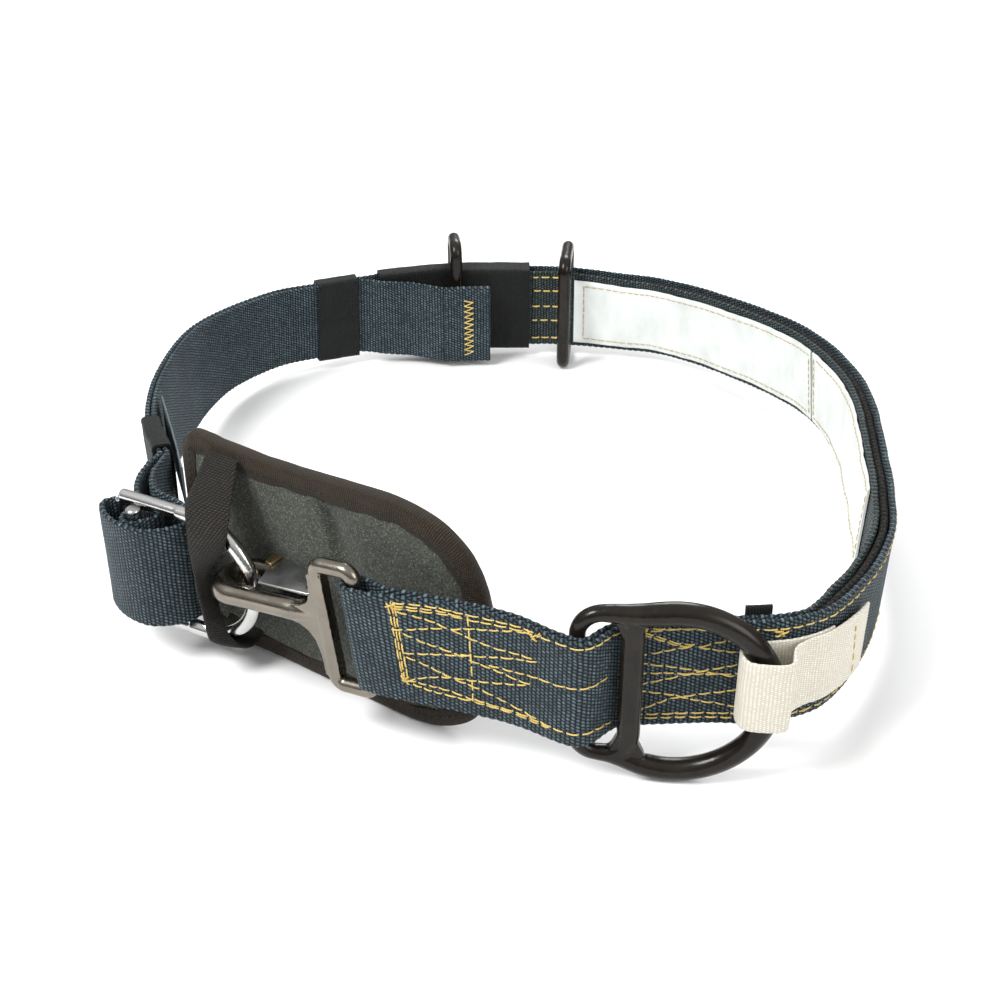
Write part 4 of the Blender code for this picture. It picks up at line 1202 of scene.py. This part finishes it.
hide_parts("d_ring")


# Slide adjuster: its own +X runs towards the hook and +Y backwards.

half = BUCKLE_HALF_HEIGHT
rail, rail_rod = half - 2.6, (2.6, 2.5)
loop_bend = arc((BUCKLE_LOOP_X, 0.0), BUCKLE_ARC, 90, -90, 40)
loop_path = np.vstack([[[BUCKLE_LOOP_START, BUCKLE_ARC]], loop_bend, [[BUCKLE_LOOP_START, -BUCKLE_ARC]]])


def frame_plate(left, right, low, high):
    """A flat bar of the adjuster's plate, between these sides."""
    outline = np.array([(left, low), (right, low), (right, high), (left, high)])
    return plate(outline, -PLATE_HALF, PLATE_HALF, 1)


adjuster_shapes = [
    frame_plate(PLATE_LEFT, PLATE_RIGHT, PLATE_SLOT, half - 2.0),
    frame_plate(PLATE_LEFT, PLATE_RIGHT, -half + 2.0, -PLATE_SLOT),
    rod([(PLATE_LEFT - 0.6, 0, rail), (PLATE_RIGHT, 0, rail)], rail_rod, (0, 1, 0), 28),
    rod([(PLATE_LEFT - 0.6, 0, -rail), (PLATE_RIGHT, 0, -rail)], rail_rod, (0, 1, 0), 28),
    frame_plate(-10.2, -6.9, -half + 2.5, half - 2.5),
    frame_plate(11.5, 16.5, -half + 0.4, half - 0.4),
    rod(np.insert(loop_path, 1, 0.0, axis=1), BUCKLE_LOOP_ROD, (0, 1, 0), 28),
    rod([(-9.3, 0, -half + 4), (-9.3, 0, half - 4)], 2.4, (0, 1, 0), 24),
]
adjuster = cast("adjuster-frame", adjuster_shapes, BUCKLE_PLACE, BUCKLE_TURN, BRIGHT, 0.45, 4)
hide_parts("adjuster_frame")


def knurled_rod(half_length, radius, rows, around, depth=0.22):
    """A rod with a crossed knurl, its ends turned smooth."""
    height = np.linspace(-half_length, half_length, rows)
    turn = 2 * np.pi * np.arange(around) / around
    h, t = np.meshgrid(height, turn, indexing="ij")
    knurl = np.abs(np.sin(9 * t + h * 2.1)) + np.abs(np.sin(9 * t - h * 2.1))
    smooth_end = np.clip((half_length - np.abs(h) - 1.2) / 0.8, 0, 1)
    chamfer = np.clip((half_length - np.abs(h)) / 0.5, 0, 1) * 0.5
    size = radius - 0.5 + chamfer - depth * smooth_end * (1.0 - knurl / 2)
    points = np.stack([size * np.cos(t), size * np.sin(t), h], -1).reshape(-1, 3)
    faces = grid_faces(rows, around, True)
    return points, faces + [list(range(around)), list(range((rows - 1) * around, rows * around))[::-1]]


knurl_points, knurl_faces = knurled_rod(BAR_HALF_LENGTH, BAR_RADIUS, 220, 120)
knurl_points = placed(knurl_points + [*BAR_AT, 0.0], BUCKLE_PLACE, BUCKLE_TURN)
knurl = mesh_piece("knurled-bar", knurl_points, [face[::-1] for face in knurl_faces], BRIGHT)
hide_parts("knurled_bar")


# Pad

BINDING_WALL = 1.0
BINDING_WIDTH = 8.0
# The pad's top edge sags between its corners: columns are x and how far it hangs below the table's edge.
PAD_SAG = ((-117.0, 0.0), (-106.5, 4.0), (-88.0, 6.0), (-74.0, 5.0), (-58.0, 2.2), (-40.0, 0.6), (-20.0, 0.0))
pad_rows = spline(np.array(PAD), 3.0, 2)
pad_rows[:, 3] -= np.interp(pad_rows[:, 0], *np.array(PAD_SAG).T)
pad_run = run_along(pad_rows[:, :2])
pad_side = unit(np.stack([-np.gradient(pad_rows[:, 1]), np.gradient(pad_rows[:, 0])], 1))


def on_pad(u, z, w):
    """A point of the pad from its length, height and distance off its middle."""
    x = np.interp(u, pad_run, pad_rows[:, 0]) + w * np.interp(u, pad_run, pad_side[:, 0])
    y = np.interp(u, pad_run, pad_rows[:, 1]) + w * np.interp(u, pad_run, pad_side[:, 1])
    return np.stack(np.broadcast_arrays(x, y, z), -1)


def pad_wave(u, z):
    """How far the pad's middle bows, from its handling."""
    off = u - 78.5 + 0.35 * (z - 61.0)
    reach = np.exp(-(((z - 72.0) / 17.0) ** 2))
    fold = np.where(off < 0, np.exp(-((off / 2.0) ** 2)), np.exp(-((off / 8.0) ** 2)))
    return 0.8 * np.sin(u / 17.0 + 0.6) * np.sin(z / 26.0) + 3.6 * fold * reach


outline = np.vstack([np.stack([pad_run, pad_rows[:, 2]], 1), np.stack([pad_run, pad_rows[:, 3]], 1)[::-1]])
outline, outline_run = spaced(np.vstack([outline, outline[:1]]), 1.6, 2)
outline, outline_run = outline[:-1], outline_run[:-1]
edge_way = np.roll(outline, -2, axis=0) - np.roll(outline, 2, axis=0)
inward = unit(np.stack([-edge_way[:, 1], edge_way[:, 0]], 1))

# The felt's two faces are rings of points that close in on its heart.
heart = np.array([pad_run[-1] * 0.45, 48.0])
shares = np.concatenate([np.linspace(0, 0.12, 9), np.linspace(0.12, 0.97, 34)[1:]])
felt_points = []
rim = outline + inward * (BINDING_WALL + GAP)
for side in (1, -1):
    for share in shares:
        flat = rim + (heart - rim) * share
        near = np.clip(np.linalg.norm(flat - rim, axis=1) / 10.0, 0, 1)
        rounding = np.sin(near * np.pi / 2)
        bulge = PAD_THICK / 2 - 0.9 + 0.9 * rounding + 0.8 * rounding * (share > 0)
        w = side * bulge + pad_wave(flat[:, 0], flat[:, 1]) * near
        felt_points.append(on_pad(flat[:, 0], flat[:, 1], w))
felt_points = np.array(felt_points)
ring_size, ring_count = len(outline), len(shares)
felt_faces = []
for side in range(2):
    faces = np.array(grid_faces(ring_count, ring_size, True)) + side * ring_count * ring_size
    felt_faces += (faces[:, ::-1] if side == 0 else faces).tolist()
    last = (side * ring_count + ring_count - 1) * ring_size
    cap = [last + j for j in range(ring_size)]
    felt_faces.append(cap if side == 0 else cap[::-1])
second = ring_count * ring_size
felt_faces += [
    [second + j, second + (j + 1) % ring_size, (j + 1) % ring_size, j]
    for j in range(ring_size)
]
pad = mesh_piece("pad-felt", felt_points.reshape(-1, 3), felt_faces, FELT)
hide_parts("pad_felt")

STRAP_THICK = 1.6
# The binding's section: columns are the distance in from the pad's outline and the distance off its middle.
inner_side, outer_side = PAD_THICK / 2 + 0.15, PAD_THICK / 2 + GAP + BINDING_WALL
section = np.array(
    [(BINDING_WIDTH, inner_side), (BINDING_WIDTH, outer_side - 0.2), (BINDING_WIDTH - 1.0, outer_side)]
    + [(x, outer_side) for x in (5.0, 3.0)]
    + [tuple(point) for point in arc((1.6, 0.0), outer_side - 1.0, 90, 270, 8) * [0.55, 1.15] + [0.75, 0.0]]
    + [(x, -outer_side) for x in (3.0, 5.0)]
    + [(BINDING_WIDTH - 1.0, -outer_side), (BINDING_WIDTH, -outer_side + 0.2), (BINDING_WIDTH, -inner_side)]
    + [(x, -inner_side) for x in (5.0, 3.0)]
    + [(1.6, -inner_side + 0.8), (1.6, inner_side - 0.8), (3.0, inner_side), (5.0, inner_side)]
)
section_run = run_along(section)
binding_points, binding_uv = [], []
for (u, z), (du, dz), run in zip(outline, inward, outline_run):
    pucker = 0.25 * math.sin(run / 2.1) + 0.35 * math.sin(run / 7.3 + 1.0)
    ripple = 0.25 * math.sin(run / 3.1)
    for (s, w), turn in zip(section, section_run):
        reach_in = s + (pucker if s > 4 else 0.0)
        binding_points.append(on_pad(u + du * reach_in, z + dz * reach_in, w + ripple * (s > 2)))
        binding_uv.append((run, turn))
binding_faces = grid_faces(len(outline), len(section), True, True)
binding = mesh_piece("pad-binding", np.array(binding_points), binding_faces, BINDING, uv=binding_uv)
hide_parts("pad_binding")

# Bar tacks on the binding: columns are middle, way and half length.
BAR_TACKS = (
    ((-104.5, -93.6, 87.4), (0.83, -0.54, -0.1), 6.0),
    ((-67.0, -117.3, 80.5), (0.8, -0.55, -0.25), 2.4),
)
BINDING_SEAM = 5.2
seam_line = outline + inward * BINDING_SEAM
pad_sewing = []
for side in (-1, 1):
    line = [on_pad(u, z, side * (outer_side + 0.1)) for u, z in seam_line]
    for start, stop, width, height in dashes(np.array(line + line[:1]), length=2.6, gap=0.9, seed=60):
        pad_sewing.append(on_cloth(binding, (start, stop, 0.55, 0.4), 0.05))
for middle, along, half_length in BAR_TACKS:
    for step in range(8):
        place = np.array(middle) + np.array([0.0, 0.0, 0.42 * (step % 4) - 0.6])
        reach = np.array(along) * half_length
        pad_sewing.append(on_cloth(binding, (place - reach, place + reach, 0.6, 0.6), 0.2))
sewn("pad-stitching", pad_sewing, DARK_THREAD)

strap_rows = spline(np.array([[*left, *middle, *right] for left, middle, right in PAD_STRAP]), 2.0, 4)
strap_grid = []
for row in strap_rows:
    left, middle, right = row[:3], row[3:6], row[6:]
    t = np.linspace(0, 1, 15)[:, None]
    strap_grid.append((1 - t) * (1 - 2 * t) * left + 4 * t * (1 - t) * middle + t * (2 * t - 1) * right)
pad_strap = sheet_piece("pad-strap", strap_grid, STRAP_THICK, STRAP)
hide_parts("pad_strap")


# Cream tape and card

def stow_path():
    """The tape's lower edge and upward ways: sewn to the belt, round the rod and back over itself."""
    under, up_under = waist.edge(span(front + 14, front - 6), 0.9, STOW_UP_BELT)
    over, up_over = waist.edge(span(front + 3, front + STOW_REACH), 2.5, STOW_UP_BELT)
    middle = np.column_stack([np.array(STOW_TURN), np.full(len(STOW_TURN), STOW_LOW)])
    return np.vstack([under, middle, over]), np.vstack([up_under, np.tile(UP, (len(middle), 1)), up_over])


stow = strip(
    "stow-strap", *stow_path(), TAPE, STOW_WIDTH, STOW_THICK, 15, step=0.8, wave=0.2, scallop=0.05, ribbing=0.0
)
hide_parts("stow_strap")
card = strip("card-strip", np.array(CARD), UP, CARD_FACE, 20.0, 0.8, wave=0.1, **smooth)
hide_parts("card")

# The end of a loop that shows above the webbing behind the D-ring.
loop_end = waist.edge(span(front - 20.0, front - 10.0), -6.4, 38.5)
strip("loop-end", *loop_end, SLEEVE, 8.5, 1.8, 31, wave=0.3, **smooth)


# Stitching

# Lines of yellow thread on the front: each row is a distance along the belt and a height.
BOX_LINES = (
    ((12.3, 42.0), (12.4, 34.0), (12.6, 24.0), (13.0, 9.5)),
    ((10.8, 41.5), (11.4, 31.0), (11.7, 20.0), (12.3, 9.5)),
    ((13.2, 41.0), (13.5, 30.0), (14.0, 20.0), (14.6, 9.5)),
    ((12.0, 42.2), (22.0, 42.4), (33.5, 42.0), (47.0, 42.2), (58.0, 42.8), (65.0, 43.0)),
    ((11.5, 40.0), (25.5, 40.0), (42.0, 40.2), (55.0, 41.2), (62.0, 42.0)),
    ((12.5, 41.0), (24.0, 41.2), (38.0, 40.6)),
    ((38.5, 41.5), (39.2, 32.0), (40.0, 20.0), (40.5, 6.5)),
    ((13.0, 39.0), (20.0, 37.5), (26.0, 36.5), (31.0, 34.5)),
    ((10.5, 31.0), (15.5, 31.5), (25.5, 33.5), (31.0, 34.5)),
    ((32.5, 34.5), (38.5, 36.5), (47.0, 38.0), (53.5, 40.0), (61.0, 41.8)),
    ((32.5, 34.5), (36.5, 33.5), (42.0, 32.0), (48.5, 31.0), (58.0, 31.5), (63.5, 32.0)),
    ((14.5, 30.0), (22.5, 27.0), (34.0, 25.0), (39.0, 23.5)),
    ((14.0, 21.5), (20.0, 22.0), (29.5, 23.5), (36.0, 24.5), (41.0, 26.0)),
    ((36.0, 25.0), (43.5, 26.0), (52.5, 28.5), (58.5, 29.8), (63.5, 31.5)),
    ((39.0, 23.5), (44.5, 22.5), (51.0, 21.5), (56.0, 20.5), (62.5, 21.0)),
    ((14.5, 20.0), (20.5, 18.5), (26.5, 16.5), (32.5, 14.5)),
    ((14.0, 9.5), (20.5, 12.0), (27.0, 13.5), (32.5, 14.5)),
    ((33.5, 14.5), (43.5, 15.5), (49.0, 16.5), (55.0, 18.0), (62.5, 21.0)),
    ((34.0, 14.0), (40.0, 13.0), (49.0, 10.5), (54.0, 9.0), (59.5, 8.0), (64.5, 7.0)),
    ((13.5, 10.0), (19.5, 9.5), (25.0, 9.0), (30.0, 9.0), (35.5, 8.0), (41.0, 7.0)),
    ((16.5, 8.5), (24.0, 7.0), (33.5, 6.5), (40.5, 6.5)),
    ((41.0, 7.5), (47.5, 6.5), (58.5, 6.5), (69.0, 6.2)),
    ((41.0, 6.3), (47.5, 5.9), (61.0, 5.4), (69.0, 5.6)),
)
RING_LINES = (
    ((65.0, 42.6), (72.0, 43.0), (84.0, 43.0), (93.0, 42.6), (105.0, 42.4)),
    ((46.0, 23.2), (57.0, 23.6), (63.0, 25.0), (70.5, 25.2), (78.0, 26.0), (86.0, 26.5), (94.0, 26.0)),
    ((65.5, 6.6), (73.0, 6.0), (86.0, 6.2), (95.5, 4.6)),
    ((103.0, 42.8), (134.0, 41.3)),
    ((103.0, 41.6), (120.0, 42.0), (134.0, 40.6)),
    ((105.5, 40.5), (112.0, 37.6), (118.0, 35.0), (123.5, 34.5)),
    ((105.5, 41.5), (112.0, 38.6), (118.0, 35.8), (123.5, 35.2)),
    ((103.5, 31.0), (111.5, 32.5), (118.0, 34.0), (123.5, 34.5)),
    ((125.0, 34.0), (131.5, 36.0), (136.5, 37.0), (142.0, 37.6)),
    ((125.0, 34.0), (132.0, 32.5), (137.5, 32.0), (145.5, 31.5)),
    ((103.5, 28.4), (116.5, 26.0), (123.0, 24.5), (129.5, 23.0), (135.0, 22.0), (145.5, 20.6)),
    ((104.0, 23.5), (113.5, 23.5), (122.5, 22.5), (129.5, 22.5), (145.5, 22.5)),
    ((104.0, 18.4), (115.5, 21.0), (124.0, 23.0), (134.0, 25.5), (141.0, 27.0), (147.0, 28.0)),
    ((104.0, 16.4), (118.0, 13.5), (124.5, 11.0), (131.5, 10.0), (137.0, 8.5), (146.5, 7.6)),
    ((104.0, 6.6), (109.0, 9.0), (116.0, 12.0), (122.0, 13.0), (129.0, 14.0), (136.0, 15.0), (144.5, 17.0)),
    ((103.0, 5.5), (145.0, 5.0)),
    ((103.0, 3.9), (145.5, 3.0), (170.0, 2.8)),
)
# The finer lines along both edges of the right side.
LONG_LINES = (
    ((134.0, 41.4), (160.0, 41.0), (200.0, 41.5), (420.0, 41.5), (620.0, 41.0)),
    ((165.0, 3.0), (300.0, 3.0), (620.0, 3.0)),
)
# Small knots of thread where a line starts or ends.
BACKTACKS = ((12.6, 41.4), (12.9, 9.8), (62.5, 41.8), (152.5, 39.6))

sewing = belt_stitches(main, BOX_LINES)
sewing += belt_stitches(main, RING_LINES, wander=0.15)
for index, spot in enumerate(BACKTACKS):
    rng = np.random.default_rng(90 + index)
    for _ in range(9):
        end = np.array(spot) + rng.uniform((-3.2, -2.0), (3.2, 2.0))
        near = front_spot(*(np.array(spot) + rng.uniform(-0.8, 0.8, 2)), 0.0)
        sewing.append(on_cloth(main, (near, front_spot(*end, 0.0), 0.5, 0.7), 0.35, waist.at(spot[0])[2][0]))
sewn("front-stitching", sewing, THREAD)
sewn("edge-stitching", belt_stitches(main, LONG_LINES, gap=1.6, length=4.2), THREAD)

# Rows of stitches on the lining, beside the right back ring.
sleeve_rows = [((606.0, height), (621.5, height)) for height in (41.6, 33.4, 24.0, 15.4, 4.6)]
sewn("zone-stitching", belt_stitches(lining, sleeve_rows, -10.0, length=4.4, gap=1.3, width=0.95), THREAD)

# A box of stitches round each label.
label_sewing = []
low_row, high_row = 6.0, 38.5
for label, near_end, far_end in ((labels[1], 427.0, 591.5), (labels[0], 279.0, 421.0)):
    lower_corner, upper_corner = (near_end, low_row), (near_end, high_row)
    corners = (lower_corner, upper_corner, (far_end, high_row), (far_end, low_row), lower_corner)
    sides = [(first, second) for first, second in zip(corners, corners[1:])]
    label_sewing += belt_stitches(label, sides, -11.0, length=3.4, gap=0.6, width=0.6, height=0.45)
sewn("label-stitching", label_sewing, PALE_THREAD)

stow_line = [((front + 28.0, 10.5), (front + 26.5, 23.0), (front + 25.0, 35.0))]
tape_sewing = belt_stitches(stow, stow_line, 3.4, length=3.6, gap=1.2)
sewn("tape-stitching", tape_sewing, THREAD)

# The tab's end is held by a zigzag across it.
zigzag = []
near_side, far_side, drop, point_drop = 660.4, 654.8, 3.3, 1.1
for height in np.arange(34.5, 3.0, -drop):
    corner = (far_side, height - point_drop)
    zigzag += [((near_side, height), corner), (corner, (near_side, height - drop))]
sewn("tab-stitching", belt_stitches(tab, zigzag, -23.4, length=5.9, wander=0.02), THREAD)


# Camera, light and floor

def area_light(name, place, size, watts):
    """A round soft light aimed at the belt's middle."""
    lamp = bpy.data.lights.new(name, "AREA")
    lamp.shape = "DISK"
    lamp.size = size
    lamp.energy = watts
    made = bpy.data.objects.new(name, lamp)
    made.location = place
    direction = np.array([0.0, 0.0, 0.03]) - np.array(place)
    pitch = math.atan2(np.hypot(direction[0], direction[1]), -direction[2])
    made.rotation_euler = (pitch, 0.0, math.atan2(direction[1], direction[0]) - math.pi / 2)
    bpy.context.scene.collection.objects.link(made)


area_light("key", (-0.7, -0.5, 1.0), 0.5, 16.0)
area_light("fill", (0.9, -0.7, 0.6), 0.7, 6.0)
area_light("back", (0.2, 1.0, 0.8), 0.6, 8.0)

world = bpy.data.worlds.new("studio")
world.use_nodes = True
world_nodes = Nodes(world.node_tree)
_, _, sky_height = world_nodes.parts(world_nodes.add("ShaderNodeTexCoord"))
glow = world_nodes.mix(world_nodes.remap(sky_height, 0.05, 0.75), (0.16, 0.165, 0.17), (1.0, 1.0, 1.0))
backdrop = world.node_tree.nodes["Background"]
world.node_tree.links.new(glow, backdrop.inputs["Color"])
backdrop.inputs["Strength"].default_value = 0.95
bpy.context.scene.world = world

floor_finish, floor_nodes, floor_shader = material("paper")
wire(floor_nodes, floor_shader, Base_Color=(0.92, 0.92, 0.92, 1.0), Roughness=0.9)
floor_mesh = bpy.data.meshes.new("floor")
floor_mesh.from_pydata([(-4, -4, 0), (4, -4, 0), (4, 4, 0), (-4, 4, 0)], [], [(0, 1, 2, 3)])
floor_mesh.materials.append(floor_finish)
floor = bpy.data.objects.new("floor", floor_mesh)
bpy.context.scene.collection.objects.link(floor)

lens = bpy.data.cameras.new("camera")
lens.lens = 54.0
lens.sensor_width = 36.0
lens.clip_start = 0.02
lens.clip_end = 20.0
camera = bpy.data.objects.new("camera", lens)
camera.location = (-0.00506, -0.58856, 0.3635)
camera.rotation_euler = (math.radians(59.0), 0.0, 0.0)
bpy.context.scene.collection.objects.link(camera)
bpy.context.scene.camera = camera

bpy.context.scene.view_settings.view_transform = "Standard"
